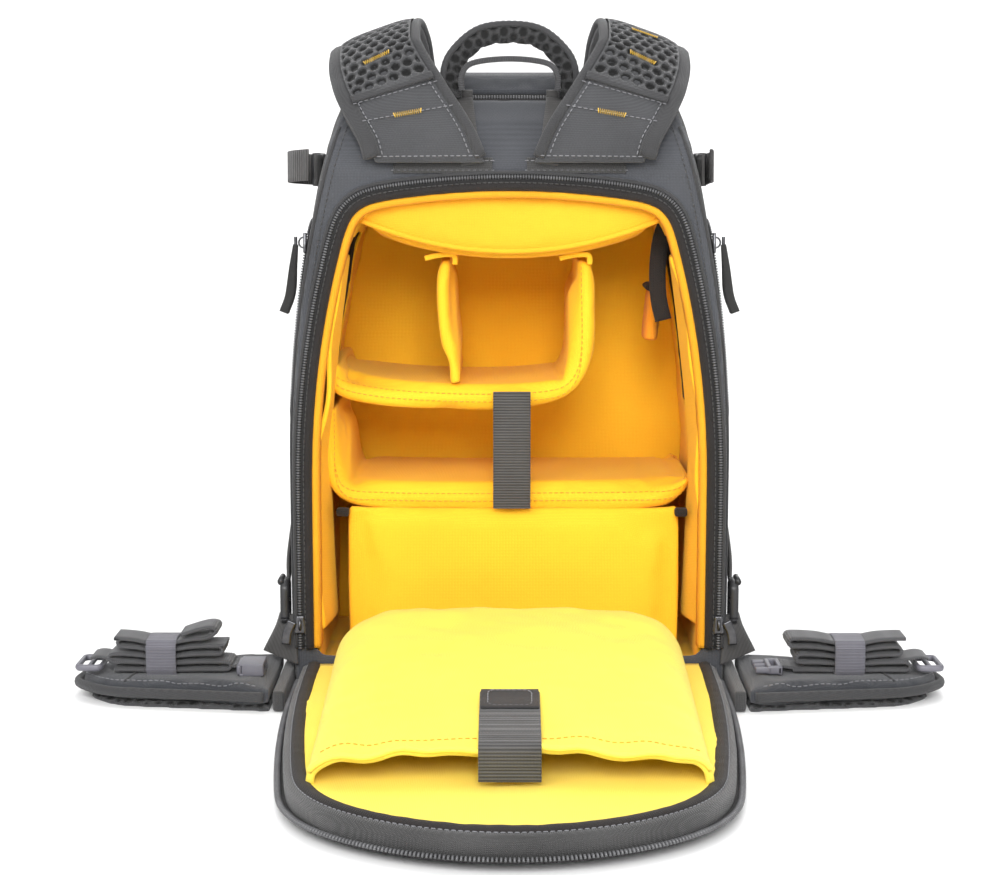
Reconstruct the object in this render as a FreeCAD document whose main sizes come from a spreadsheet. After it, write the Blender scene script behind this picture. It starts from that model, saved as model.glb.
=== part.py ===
import FreeCAD, Part
import math
import os
import re

import Sketcher

# Camera backpack, standing on its base with the harness panel unzipped and laid on the ground.
# Frame: millimetres, origin at the centre of the base, +X to the right as seen from the harness side,
# -Y towards the wearer (the opening), +Z up.

Vector = FreeCAD.Vector
doc = FreeCAD.newDocument("camera_backpack")
sheet = doc.addObject("Spreadsheet::Sheet", "Sizes")

DRIVING_SIZES = [
    ("opening_face", -110, "Y of the zipped opening on the wearer's side"),
    ("outer_face", 112, "Y of the outer front of the main body"),
    ("bag_half_width", 169, "half width of the soft shell at its widest"),
    ("bag_straight", 175, "height of the shell's upright sides"),
    ("shell_wall", 6, "padded wall of the shell"),
    ("base_panel_height", 3, "coated fabric under the bag"),
    ("cover_split", 466, "height of the top cover's zip"),
    ("opening_low", 34, "lower edge of the zipped opening"),
    ("arch_half_width", 165, "half width of the zipped opening"),
    ("arch_straight", 132, "upright part of the opening's sides"),
    ("arch_side_radius", 720, "gentle lean of the opening's upper sides"),
    ("arch_corner_radius", 36, "upper corners of the opening"),
    ("panel_half_width", 161, "half width of the harness panel at the fold"),
    ("panel_straight", 30, "parallel part of the harness panel"),
    ("panel_side_radius", 1800, "taper of the harness panel"),
    ("panel_corner_radius", 110, "corners of the harness panel"),
    ("zip_width", 5, "width of the main zip's teeth and tape edge"),
    ("zip_proud", 3, "height of the main zip above the opening face"),
    ("binding_width", 14, "bound fabric edge inside the zip"),
    ("binding_depth", 12, "depth of the bound edge"),
    ("lining_thick", 3, "padded yellow lining"),
    ("lining_back", 86, "Y of the lining's back wall"),
    ("lining_floor", 14, "height of the lining's floor"),
    ("top_floor_height", 409, "floor of the top compartment"),
    ("insert_front", -74, "Y of the dividers' front edges"),
    ("insert_width", 288, "width across the divider insert"),
    ("shelf_thick", 14, "padded shelf thickness"),
    ("camera_shelf_height", 143, "underside of the camera shelf"),
    ("lens_shelf_height", 224, "underside of the lens shelf at its middle"),
    ("lens_cell_top", 346, "top edge of the lens dividers"),
    ("divider_thick", 10, "padded divider thickness"),
    ("mid_divider_place", -48, "X of the divider between the two lens cells"),
    ("end_divider_place", 52, "X of the divider at the end of the lens cells"),
    ("webbing_wide", 25, "wide webbing"),
    ("webbing_thick", 2, "webbing thickness"),
    ("panel_start", -114, "Y where the harness panel begins"),
    ("panel_board_thick", 12, "foam and board of the harness panel"),
    ("panel_pad_thick", 10, "air-mesh back pads under the harness panel"),
    ("rim_thick", 9, "padded rim of the harness panel"),
    ("rim_height", 15, "height of the rim of the harness panel"),
    ("sleeve_start", -124, "Y where the laptop sleeve begins"),
    ("sleeve_length", 285, "length of the laptop sleeve"),
    ("laptop_room_width", 224, "width left for a laptop"),
    ("laptop_room_height", 15, "height left for a laptop"),
    ("laptop_strap_width", 40, "width of the strap over the laptop"),
    ("wing_root", 180, "X where a hip-belt wing folds"),
    ("wing_tip", 338, "X of the end of a hip-belt wing"),
    ("wing_depth", 112, "hip-belt wing, front to back at its root"),
    ("wing_mesh", 6, "air mesh under a hip-belt wing"),
    ("wing_pad", 16, "padded fabric of a hip-belt wing"),
    ("wing_front", -172, "Y of the wing's front edge at its root"),
    ("strap_width", 66, "shoulder strap width"),
    ("strap_thick", 12, "shoulder strap thickness"),
    ("door_rear", -86, "Y of the side door's zip edge"),
    ("door_fold", 40, "Y of the side door's fold"),
    ("door_low", 215, "bottom of the side door"),
    ("door_high", 366, "top of the side door"),
    ("slider_length", 14, "zip slider"),
    ("slider_width", 9, "zip slider"),
    ("slider_thick", 4, "zip slider"),
    ("pull_length", 44, "fabric pull tab"),
    ("pull_width", 9, "fabric pull tab"),
    ("pull_thick", 2.4, "fabric pull tab"),
    ("buckle_width", 26, "side-release buckle"),
    ("buckle_thick", 9, "side-release buckle"),
    ("pocket_half_width", 118, "outer pocket"),
    ("pocket_thick", 14, "outer pocket"),
    ("running_gap", 0.4, "gap between pieces that move against each other"),
]
for row, (alias, number, meaning) in enumerate(DRIVING_SIZES, start=1):
    sheet.set(f"A{row}", meaning)
    sheet.set(f"B{row}", str(number))
    sheet.setAlias(f"B{row}", alias)
doc.recompute()
size = {alias: float(sheet.get(alias)) for alias, number, meaning in DRIVING_SIZES}
nodes = []

SIDE_TURN = 16.5          # degrees that the opening's sides lean before the corner
TOP_TURN = 80.0           # degrees where the corner meets the flat crown
PANEL_SIDE_TURN = 8.0    # the same two angles for the harness panel, whose far end is round
PANEL_TOP_TURN = 50.0
LEFT, RIGHT = -1, 1
SIDES = (("left", LEFT), ("right", RIGHT))


# ---------------------------------------------------------------- helpers

def bound(text):
    """Turns plain size names in an expression into references to the sheet."""
    return re.sub(r"[a-z][a-z_]{3,}", lambda name: "Sizes." + name.group(0), text)


def node(name, shape):
    """A sub-part whose shape is made with Part's own functions from the sheet's sizes."""
    feature = doc.addObject("Part::Feature", name)
    feature.Label = name
    feature.Shape = shape
    feature.Placement = shape.Placement
    nodes.append(feature)
    return feature


def slab(name, width, depth, height, place, corner=None, keep=True):
    """A padded or pressed piece: a centred rectangle padded upwards, with rounded upright edges."""
    body = doc.addObject("PartDesign::Body", name)
    body.Label = name
    plane = [item for item in body.Origin.OriginFeatures if item.Role == "XY_Plane"][0]
    sketch = body.newObject("Sketcher::SketchObject", name + "_outline")
    sketch.AttachmentSupport = [(plane, "")]
    sketch.MapMode = "FlatFace"
    corners = [Vector(-1, -1, 0), Vector(1, -1, 0), Vector(1, 1, 0), Vector(-1, 1, 0)]
    for index in range(4):
        sketch.addGeometry(Part.LineSegment(corners[index], corners[(index + 1) % 4]))
    for index in range(4):
        sketch.addConstraint(Sketcher.Constraint("Coincident", index, 2, (index + 1) % 4, 1))
    sketch.addConstraint(Sketcher.Constraint("Horizontal", 0))
    sketch.addConstraint(Sketcher.Constraint("Vertical", 1))
    sketch.addConstraint(Sketcher.Constraint("Horizontal", 2))
    sketch.addConstraint(Sketcher.Constraint("Vertical", 3))
    sketch.addConstraint(Sketcher.Constraint("Symmetric", 0, 1, 1, 2, -1, 1))
    across = sketch.addConstraint(Sketcher.Constraint("DistanceX", 0, 1, 0, 2, 2.0))
    along = sketch.addConstraint(Sketcher.Constraint("DistanceY", 1, 1, 1, 2, 2.0))
    sketch.setExpression(f"Constraints[{across}]", bound(width))
    sketch.setExpression(f"Constraints[{along}]", bound(depth))
    pad = body.newObject("PartDesign::Pad", name + "_pad")
    pad.Profile = sketch
    pad.setExpression("Length", bound(height))
    for axis, where in zip("xyz", place):
        body.setExpression(f"Placement.Base.{axis}", bound(where))
    doc.recompute()
    if corner:
        upright = [
            f"Edge{index}" for index, edge in enumerate(pad.Shape.Edges, start=1)
            if abs(edge.tangentAt(edge.FirstParameter).z) > 0.99
        ]
        fillet = body.newObject("PartDesign::Fillet", name + "_corners")
        fillet.Base = (pad, upright)
        fillet.setExpression("Radius", bound(corner))
        doc.recompute()
    if keep:
        nodes.append(body)
    return body


def box(low, high):
    """A block between two corners."""
    return Part.makeBox(high[0] - low[0], high[1] - low[1], high[2] - low[2], Vector(*low))


def lift(plane, u, v):
    """A point of an outline, put into its plane."""
    return {"XZ": Vector(u, 0, v), "YZ": Vector(0, u, v), "XY": Vector(u, v, 0)}[plane]


def rounded_wire(plane, points):
    """A closed outline of straight sides, each corner (u, v, radius) rounded by a tangent arc."""
    runs = []
    count = len(points)
    for index, (u, v, radius) in enumerate(points):
        here = Vector(u, v, 0)
        back = Vector(*points[index - 1][:2], 0).sub(here).normalize()
        ahead = Vector(*points[(index + 1) % count][:2], 0).sub(here).normalize()
        half = back.getAngle(ahead) / 2
        reach = radius / math.tan(half)
        middle = back.add(ahead)
        start = here.add(back * reach)
        end = here.add(ahead * reach)
        if radius > 0:
            inner = middle.normalize() * (radius / math.sin(half) - radius)
            runs.append((start, here.add(inner), end))
        else:
            runs.append((here, None, here))
    edges = []
    for index, (start, inner, end) in enumerate(runs):
        if inner is not None:
            arc = Part.Arc(lift(plane, *start[:2]), lift(plane, *inner[:2]), lift(plane, *end[:2]))
            edges.append(arc.toShape())
        following = runs[(index + 1) % count][0]
        if end.distanceToPoint(following) > 1e-6:
            edges.append(Part.makeLine(lift(plane, *end[:2]), lift(plane, *following[:2])))
    return Part.Wire(edges)


def prism(wire, along, start, length, grow=0.0):
    """A closed outline moved to its start and drawn out along an axis."""
    if grow:
        wire = wire.makeOffset2D(grow)
    face = Part.Face(wire)
    face.translate(along * start)
    return face.extrude(along * length)


def arch_wire(half_width, straight, side_radius, side_turn, corner_radius, base, inset, top_turn=TOP_TURN):
    """Upright arch: straight sides, long leaning arcs, round corners and a nearly flat crown."""
    lean, crown = math.radians(side_turn), math.radians(top_turn)
    side = Vector(half_width - side_radius, 0, base + straight)
    step = side_radius - corner_radius
    corner = side.add(Vector(step * math.cos(lean), 0, step * math.sin(lean)))
    crown_radius = corner_radius + corner.x / math.cos(crown)
    top = Vector(0, 0, corner.z - (crown_radius - corner_radius) * math.sin(crown))

    def on(centre, radius, angle, mirror):
        reach = radius - inset
        point = centre.add(Vector(reach * math.cos(angle), 0, reach * math.sin(angle)))
        return Vector(point.x * mirror, 0, point.z)

    arcs = ((side, side_radius, 0.0, lean), (corner, corner_radius, lean, crown),
            (top, crown_radius, crown, math.pi / 2))
    edges = []
    for mirror in (RIGHT, LEFT):
        foot = Vector((half_width - inset) * mirror, 0, base)
        edges.append(Part.makeLine(foot, on(side, side_radius, 0.0, mirror)))
        for centre, radius, first, last in arcs:
            middle = on(centre, radius, (first + last) / 2, mirror)
            ends = [on(centre, radius, angle, mirror) for angle in (first, last)]
            edges.append(Part.Arc(ends[0], middle, ends[1]).toShape())
    edges.append(Part.makeLine(Vector(inset - half_width, 0, base), Vector(half_width - inset, 0, base)))
    return Part.Wire(Part.__sortEdges__(edges))


FRONT_TO_BACK = Vector(0, 1, 0)
ACROSS = Vector(1, 0, 0)
UP = Vector(0, 0, 1)


def opening_prism(inset, near, far, base_lift=0.0):
    """The zipped opening's outline, drawn out between two depths."""
    wire = arch_wire(size["arch_half_width"], size["arch_straight"] - base_lift, size["arch_side_radius"],
                     SIDE_TURN, size["arch_corner_radius"], size["opening_low"] + base_lift, inset)
    return prism(wire, FRONT_TO_BACK, near, far - near)


def panel_prism(inset, low, high, start_lift=0.0):
    """The harness panel's outline, lying towards the wearer's side, between two heights."""
    wire = arch_wire(size["panel_half_width"], size["panel_straight"] - start_lift,
                     size["panel_side_radius"], PANEL_SIDE_TURN, size["panel_corner_radius"],
                     start_lift, inset, PANEL_TOP_TURN)
    flat = wire.rotated(Vector(0, 0, 0), ACROSS, 90)
    flat.translate(Vector(0, size["panel_start"], 0))
    return prism(flat, UP, low, high - low)


def leaned(shape, centre, axis, degrees):
    """A copy of a shape turned about an axis."""
    return shape.rotated(centre, axis, degrees)


def mirrored(shape, side):
    """A right-hand shape, or its mirror image on the left."""
    return shape if side == RIGHT else shape.mirror(Vector(0, 0, 0), ACROSS)


def ribbon(centres, widths, thickness):
    """A strap of flat sections along a path, ruled from one section to the next."""
    wires = []
    last = len(centres) - 1
    for index, centre in enumerate(centres):
        path = centres[min(index + 1, last)].sub(centres[max(index - 1, 0)]).normalize()
        across = ACROSS.sub(path * ACROSS.dot(path)).normalize() * (widths[index] / 2)
        out = path.cross(across).normalize() * (thickness / 2)
        ring = [across + out, across - out, -across - out, -across + out]
        wires.append(Part.makePolygon([centre.add(step) for step in ring + ring[:1]]))
    return Part.makeLoft(wires, True, True)


# ---------------------------------------------------------------- soft shell

SHELL_LEAN = 16.3      # degrees that the shell's sides lean before its shoulders
SHELL_SIDE_RADIUS = 1050
SHELL_SHOULDER_RADIUS = 20
SHELL_CROWN = 88.0
OUTER_CORNER = 42      # plan radius of the outer vertical corners
HARNESS_CORNER = 8


def shell_front_wire(base, grow):
    """Front outline of the bag: upright, then leaning in to round shoulders under a flat top."""
    return arch_wire(size["bag_half_width"], size["bag_straight"] - base, SHELL_SIDE_RADIUS, SHELL_LEAN,
                     SHELL_SHOULDER_RADIUS, base, -grow, SHELL_CROWN)


def shell_side_wire(base):
    """Side outline: upright harness face, sloping yoke, flat top and a rounded outer face."""
    near, far = size["opening_face"], size["outer_face"]
    return rounded_wire("YZ", [
        (near, base, 0), (near, 420, 40), (near + 60, 478, 14), (far - 40, 486, 40),
        (far - 4, 420, 60), (far, 250, 200), (far - 10, base, 0),
    ])


def shell_plan_wire():
    """Plan outline with large outer corners and small harness-side corners."""
    half, near, far = size["bag_half_width"] + 1, size["opening_face"], size["outer_face"]
    return rounded_wire("XY", [
        (-half, near, HARNESS_CORNER), (half, near, HARNESS_CORNER),
        (half, far, OUTER_CORNER), (-half, far, OUTER_CORNER),
    ])


def bag_solid(grow):
    """The bag's whole outer form, grown or shrunk by a wall."""
    base = size["base_panel_height"]
    across = prism(shell_front_wire(base, grow), FRONT_TO_BACK, -200, 400)
    along = prism(shell_side_wire(base), ACROSS, -250, 500, grow)
    plan = prism(shell_plan_wire(), UP, -50, 600, grow)
    return across.common(along).common(plan)


def door_prism(grow):
    """A side door's outline, drawn out across the whole bag."""
    wire = rounded_wire("YZ", [
        (size["door_rear"], size["door_low"], 18), (size["door_fold"], size["door_low"], 6),
        (size["door_fold"], size["door_high"], 6), (size["door_rear"], size["door_high"], 18),
    ])
    return prism(wire, ACROSS, 90, 120, grow)


def make_shell():
    """The hollow shell with its opening, side doors, top cover and outer zips."""
    outer, inner = bag_solid(0), bag_solid(-size["shell_wall"])
    wall = outer.cut(inner)
    split = size["cover_split"]
    gap = size["running_gap"]
    below = box((-250, -200, 0), (250, 200, split))
    above = box((-250, -200, split + gap), (250, 200, 600))
    opening = opening_prism(size["binding_width"], -130, size["opening_face"] + 30)
    shell = wall.common(below).cut(opening)
    for side_name, side in SIDES:
        hole = mirrored(door_prism(0), side)
        shell = shell.cut(hole)
    node("shell", shell)
    node("top_cover", wall.common(above))
    tape = bag_solid(2).cut(bag_solid(gap))
    zip_band = box((-250, -200, split - 6), (250, 55, split - 0.5))
    zips = [tape.common(zip_band)]
    for side_name, side in SIDES:
        door = wall.common(mirrored(door_prism(-0.8), side))
        node(f"side_door_{side_name}", door)
        hem = box((-250, size["door_fold"] - 6, 0), (250, size["door_fold"] + 20, 500))
        frame = door_prism(7).cut(door_prism(0.4)).cut(hem)
        zips.append(tape.common(mirrored(frame, side)))
    pocket_face = size["outer_face"] + size["pocket_thick"] + 0.3
    zips.append(box((-84, pocket_face, 246), (84, pocket_face + 1.6, 252)))
    node("outer_zips", Part.makeCompound(zips))


def make_base():
    """Coated base panel on the ground and the stiff board above it."""
    near, far = size["opening_face"], size["outer_face"]
    half = size["bag_half_width"] - 7
    outline = rounded_wire("XY", [(-half, near, 10), (half, near, 10),
                                  (half, far - 14, 36), (-half, far - 14, 36)])
    node("base_panel", prism(outline, UP, 0, size["base_panel_height"]))
    slab("base_board", "2 * bag_half_width - 40", "outer_face - opening_face - 44", "2.5",
         ("0", "(outer_face + opening_face) / 2 - 4", "base_panel_height + shell_wall + 0.2"), "20")


# ---------------------------------------------------------------- opening, lining and dividers

def make_opening():
    """The body half of the main zip and the bound fabric edge inside it."""
    face, proud = size["opening_face"], size["zip_proud"]
    zip_ring = opening_prism(0, face - proud, face, 4).cut(
        opening_prism(size["zip_width"], face - proud - 1, face + 1, -20))
    node("main_zip_body_side", zip_ring)
    inset = size["zip_width"]
    binding = opening_prism(inset, face - 2, face, 4).cut(
        opening_prism(size["binding_width"], face - 20, face + 40, -20))
    lip = opening_prism(size["binding_width"] + 0.3, face, face + size["binding_depth"], 4).cut(
        opening_prism(size["binding_width"] + 4, face - 20, face + 40, -20))
    node("opening_binding", binding.fuse(lip))


def lining_prism(inset, near, far, floor):
    """The lining's arch outline."""
    drop = floor - size["opening_low"]
    return opening_prism(inset, near, far, drop)


def make_lining():
    """Yellow padded lining: an arch-shaped tray open to the harness side and at both side doors."""
    near = size["opening_face"] + size["binding_depth"] + 0.5
    back, thick, floor = size["lining_back"], size["lining_thick"], size["lining_floor"]
    hollow = lining_prism(13 + thick, near - 5, back - thick, floor + thick)
    tray = lining_prism(13, near, back, floor).cut(hollow)
    for side_name, side in SIDES:
        tray = tray.cut(mirrored(door_prism(-4), side))
    node("lining", tray)
    half = size["bag_half_width"] - 42
    node("top_compartment_floor", box((-half, -56, size["top_floor_height"]),
                                      (half, 80, size["top_floor_height"] + 3)))


def make_dividers():
    """Hook-and-loop dividers: a sagging lens shelf, two lens walls and the camera shelf, whose front
    wall closes the lower bay."""
    front, back = size["insert_front"], size["lining_back"] - 8
    half = size["insert_width"] / 2
    end, low, thick = size["end_divider_place"], size["lens_shelf_height"], size["divider_thick"]
    sag = 16
    middle = (end - half + thick) / 2

    def curve(height):
        ends = (Vector(thick - half, 0, height + sag), Vector(end, 0, height + sag))
        return ends, Part.Arc(ends[0], Vector(middle, 0, height), ends[1]).toShape()

    lower_ends, lower = curve(low)
    upper_ends, upper = curve(low + size["shelf_thick"])
    face = Part.Face(Part.Wire(Part.__sortEdges__([
        lower, Part.makeLine(lower_ends[1], upper_ends[1]), upper,
        Part.makeLine(upper_ends[0], lower_ends[0])])))
    face.translate(FRONT_TO_BACK * front)
    node("lens_shelf", face.extrude(FRONT_TO_BACK * (back - front)))
    stand = low + size["shelf_thick"] + sag + 0.5
    depth = "lining_back - insert_front - 12"
    middle_wall = slab("middle_wall", "divider_thick", depth, f"lens_cell_top - {stand}",
                       ("mid_divider_place", "(lining_back + insert_front) / 2", str(stand)), "4", keep=False)
    end_wall = slab("end_wall", "divider_thick", depth, f"lens_cell_top - {low + sag}",
         ("end_divider_place + divider_thick / 2 + 0.3", "(lining_back + insert_front) / 2",
          str(low + sag)), "4", keep=False)
    node("lens_dividers", Part.makeCompound([middle_wall.Shape, end_wall.Shape]))
    shelf = slab("shelf_pad", "insert_width", "lining_back - insert_front - 8", "shelf_thick",
                 ("0", "(lining_back + insert_front) / 2", "camera_shelf_height"), "6", keep=False)
    flange = slab("shelf_flange", "divider_thick", "34", "shelf_thick + 66",
                  ("divider_thick / 2 - insert_width / 2", "insert_front + 21", "camera_shelf_height"), "4",
                  keep=False)
    wall_foot = size["lining_floor"] + size["lining_thick"] + 0.5
    front_wall = box((11 - half, front + 5, wall_foot),
                     (half - 11, front + 12, size["camera_shelf_height"] + 4))
    node("camera_shelf", shelf.Shape.fuse(flange.Shape).fuse(front_wall))
    slab("lens_strap", "webbing_wide", "webbing_thick", "lens_shelf_height - camera_shelf_height - 1",
         ("2", "insert_front - webbing_thick", "camera_shelf_height"))
    tabs = [box((place - 11, front - 3, size["lens_cell_top"] - 14), (place + 11, front - 0.5,
                size["lens_cell_top"] - 1)) for place in (size["mid_divider_place"], end + 5)]
    toggles = [box((place - 5, front - 5, size["camera_shelf_height"] - 7),
                   (place + 5, front + 4, size["camera_shelf_height"] - 0.5)) for place in (-132, 136)]
    node("divider_fasteners", Part.makeCompound(tabs + toggles))
    crown = Part.Arc(Vector(-112, 0, 364), Vector(0, 0, 344), Vector(112, 0, 364)).toShape()
    upper_edge = Part.makeLine(Vector(-112, 0, 368), Vector(112, 0, 368))
    ends = [Part.makeLine(Vector(place, 0, 364), Vector(place, 0, 368)) for place in (-112, 112)]
    pad = Part.Face(Part.Wire(Part.__sortEdges__([crown, upper_edge] + ends)))
    pad.translate(FRONT_TO_BACK * (front - 18))
    node("ceiling_pad", pad.extrude(FRONT_TO_BACK * (back - front + 10)))
    wings = [mirrored(box((144, size["opening_face"] + 14, 62), (147, -62, 205)), side)
             for side in (LEFT, RIGHT)]
    node("lining_wings", Part.makeCompound(wings))
    slab("card_pocket", "4", "38", "44", ("118", "insert_front + 60", "270"))


# ---------------------------------------------------------------- harness panel

def make_panel():
    """The padded harness panel laid on the ground, with its rim, zip, pads and laptop sleeve."""
    low = size["panel_pad_thick"]
    high = low + size["panel_board_thick"]
    rim = size["rim_thick"]
    rim_high = low + size["rim_height"]
    node("panel_board", panel_prism(rim + 0.3, low, high, 4))
    node("panel_rim", panel_prism(0, low, rim_high).cut(panel_prism(rim, low - 5, rim_high + 5, -20)))
    node("main_zip_panel_side", panel_prism(-3.5, low - 3, low + 1, 4).cut(
        panel_prism(-0.2, low - 9, low + 9, -20)))
    lining_top = high + 2
    node("panel_lining", panel_prism(rim + 0.3, high, lining_top, 4))
    near = size["panel_start"]
    pads = [box((side * 68 - 54, near - 320, 0), (side * 68 + 54, near - 120, low))
            for side in (LEFT, RIGHT)]
    pads.append(box((-120, near - 106, 0), (120, near - 10, low)))
    node("back_pads", Part.makeCompound(pads))
    make_sleeve(lining_top)


def make_sleeve(floor):
    """The padded laptop sleeve on the harness panel, its strap, the strap's loose end and a blank label."""
    start, mouth = size["sleeve_start"], size["sleeve_start"] - size["sleeve_length"]
    fold_top, mouth_top = 78, 50
    profile = rounded_wire("YZ", [
        (start, floor + 0.2, 0), (start, fold_top, 14), (start - 45, fold_top, 60),
        (mouth, mouth_top, 0), (mouth, floor + 0.2, 0)])
    plan = rounded_wire("XY", [(-134, start, 34), (134, start, 34), (128, mouth, 4), (-128, mouth, 4)])
    sleeve = prism(profile, ACROSS, -200, 400).common(prism(plan, UP, 0, 100))
    half = size["laptop_room_width"] / 2
    room_low, room_high = floor + 3, floor + 3 + size["laptop_room_height"]
    node("laptop_sleeve", sleeve.cut(box((-half, mouth - 5, room_low), (half, start - 35, room_high))))
    width = size["laptop_strap_width"]
    slope = (fold_top - mouth_top) / (size["sleeve_length"] - 45)
    lean = math.degrees(math.atan(slope))

    def on_sleeve(piece_width, length, thickness, from_mouth, clear):
        piece = box((-piece_width / 2, mouth + from_mouth, mouth_top + clear),
                    (piece_width / 2, mouth + from_mouth + length, mouth_top + clear + thickness))
        return leaned(piece, Vector(0, mouth, mouth_top), ACROSS, lean)

    node("laptop_strap", on_sleeve(width, 76, 2, 1.5, 0.4))
    node("strap_label", on_sleeve(width - 7, 24, 0.8, 48, 2.4))
    tab = box((-width / 2, mouth - 3.4, floor + 4), (width / 2, mouth - 1.4, mouth_top + 1))
    node("laptop_strap_tab", tab)


# ---------------------------------------------------------------- zips

def slider_slab(name, place):
    """A zip slider that rides on the front of its zip."""
    return slab(name, "slider_width", "slider_thick", "slider_length", place, "1.5")


def make_sliders():
    """Sliders and fabric pulls of the main zip and of the two side zips."""
    gap = size["running_gap"]
    for side_name, side in SIDES:
        sign = "-" if side == LEFT else ""
        slider_slab(f"main_slider_{side_name}",
                    (f"{sign}(arch_half_width - 2)",
                     "opening_face - zip_proud - slider_thick / 2 - running_gap",
                     "opening_low + 16"))
        slab(f"main_pull_{side_name}", "pull_width - 2", "pull_thick", "18",
             (f"{sign}(arch_half_width + 8)",
              "opening_face - zip_proud - slider_thick / 2 - running_gap", "opening_low + 8"), "1")
        x = side_surface(348)
        lean = math.degrees(math.atan2(side_surface(300) - side_surface(366), 66))
        slider = Part.makeBox(size["slider_thick"], size["slider_width"], size["slider_length"],
                              Vector(x + 3, size["door_rear"] - 9, 345))
        slider = leaned(slider, Vector(x, 0, 350), FRONT_TO_BACK, -lean)
        node(f"side_slider_{side_name}", mirrored(slider, side))
        pull = Part.makeBox(size["pull_thick"], size["pull_width"], size["pull_length"],
                            Vector(x + 7.5, size["door_rear"] - 9, 344 - gap - size["pull_length"]))
        pull = leaned(pull, Vector(x, 0, 350), FRONT_TO_BACK, -lean)
        node(f"side_pull_{side_name}", mirrored(pull, side))
        top = Part.makeBox(size["slider_thick"], size["slider_length"], size["slider_width"],
                           Vector(side_surface(size["cover_split"] - 9) + 3, 36, size["cover_split"] - 9))
        node(f"top_slider_{side_name}", mirrored(top, side))


def side_surface(height):
    """X of the shell's side at a height."""
    rise = max(0.0, height - size["bag_straight"])
    return size["bag_half_width"] - SHELL_SIDE_RADIUS + math.sqrt(SHELL_SIDE_RADIUS ** 2 - rise ** 2)


# ---------------------------------------------------------------- handles and straps

def handle_wire(half, foot, top, corner, band, inner_corner):
    """Front outline of a looped handle: two legs under a flat arch, all one band wide."""
    inner = half - band
    return rounded_wire("XZ", [
        (-half, foot, 0), (-half, top, corner), (half, top, corner), (half, foot, 0),
        (inner, foot, 0), (inner, top - band, inner_corner), (-inner, top - band, inner_corner),
        (-inner, foot, 0),
    ])


def make_handles():
    """Padded carry handle, thin haul loop and the haul loop's sewn ends."""
    handle = handle_wire(49, 467, 521, 38, 13, 25)
    node("carry_handle", prism(handle, FRONT_TO_BACK, -79, 12.5))
    loop = handle_wire(33, 468, 492, 18, 3, 15)
    node("haul_loop", prism(loop, FRONT_TO_BACK, -92, 10))
    ends = []
    for side_name, side in SIDES:
        strip = ribbon([Vector(32, -104, 432), Vector(34, -85, 457)], [14, 14], 2)
        ends.append(mirrored(strip, side))
        ends.append(mirrored(box((14, -110.9, 409), (88, -110.05, 415)), side))
    node("harness_patches", Part.makeCompound(ends))


STRAP_PATH = [  # centre of the right shoulder strap: sewn end on the yoke, over the top, down the front
    (55, -118, 414), (64, -112.5, 434), (83, -98, 462), (99, -78, 488), (102, -48, 506), (101, -10, 511),
    (100, 40, 508), (98, 90, 496), (96, 124, 464), (94, 141, 410), (92, 146, 350), (92, 146, 290),
    (92, 144, 235),
]
WEBBING_PATH = [  # centre of the right lower webbing: ladder lock, up the side and round to the strap
    (176, -78, 76), (178, -50, 92), (178, 20, 130), (176, 70, 160), (160, 112, 186), (134, 132, 202),
    (108, 138, 214),
]


def make_shoulder_straps():
    """Shoulder straps thrown over the top, and their lower webbing with ladder locks."""
    webbings, locks = [], []
    for side_name, side in SIDES:
        centres = [Vector(*point) for point in STRAP_PATH]
        widths = [size["strap_width"] + extra for extra in (10, 10, 8, 5, 4)]
        widths += [size["strap_width"]] * (len(centres) - len(widths))
        node(f"shoulder_strap_{side_name}", mirrored(ribbon(centres, widths, size["strap_thick"]), side))
        webbing = [Vector(*point) for point in WEBBING_PATH]
        strip = upright_ribbon(webbing, size["webbing_wide"], size["webbing_thick"])
        webbings.append(mirrored(strip, side))
        lock = box((172, -104, 56), (180, -85, 88)).cut(box((170, -99, 61), (190, -91, 83)))
        locks.append(mirrored(lock, side))
        tab = prism(rounded_wire("YZ", [(-106, 30, 0), (-70, 30, 0), (-88, 54, 0), (-104, 54, 0)]), ACROSS,
                    173, 2)
        webbings.append(mirrored(tab, side))
    node("lower_webbing", Part.makeCompound(webbings))
    node("ladder_locks", Part.makeCompound(locks))


def upright_ribbon(centres, width, thickness):
    """Webbing on edge: its width stands upright while its path winds round the bag."""
    wires = []
    last = len(centres) - 1
    for index, centre in enumerate(centres):
        path = centres[min(index + 1, last)].sub(centres[max(index - 1, 0)]).normalize()
        tall = UP.sub(path * UP.dot(path)).normalize() * (width / 2)
        out = path.cross(tall).normalize() * (thickness / 2)
        ring = [tall + out, tall - out, -tall - out, -tall + out]
        wires.append(Part.makePolygon([centre.add(step) for step in ring + ring[:1]]))
    return Part.makeLoft(wires, True, True)


# ---------------------------------------------------------------- hip belt

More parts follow.
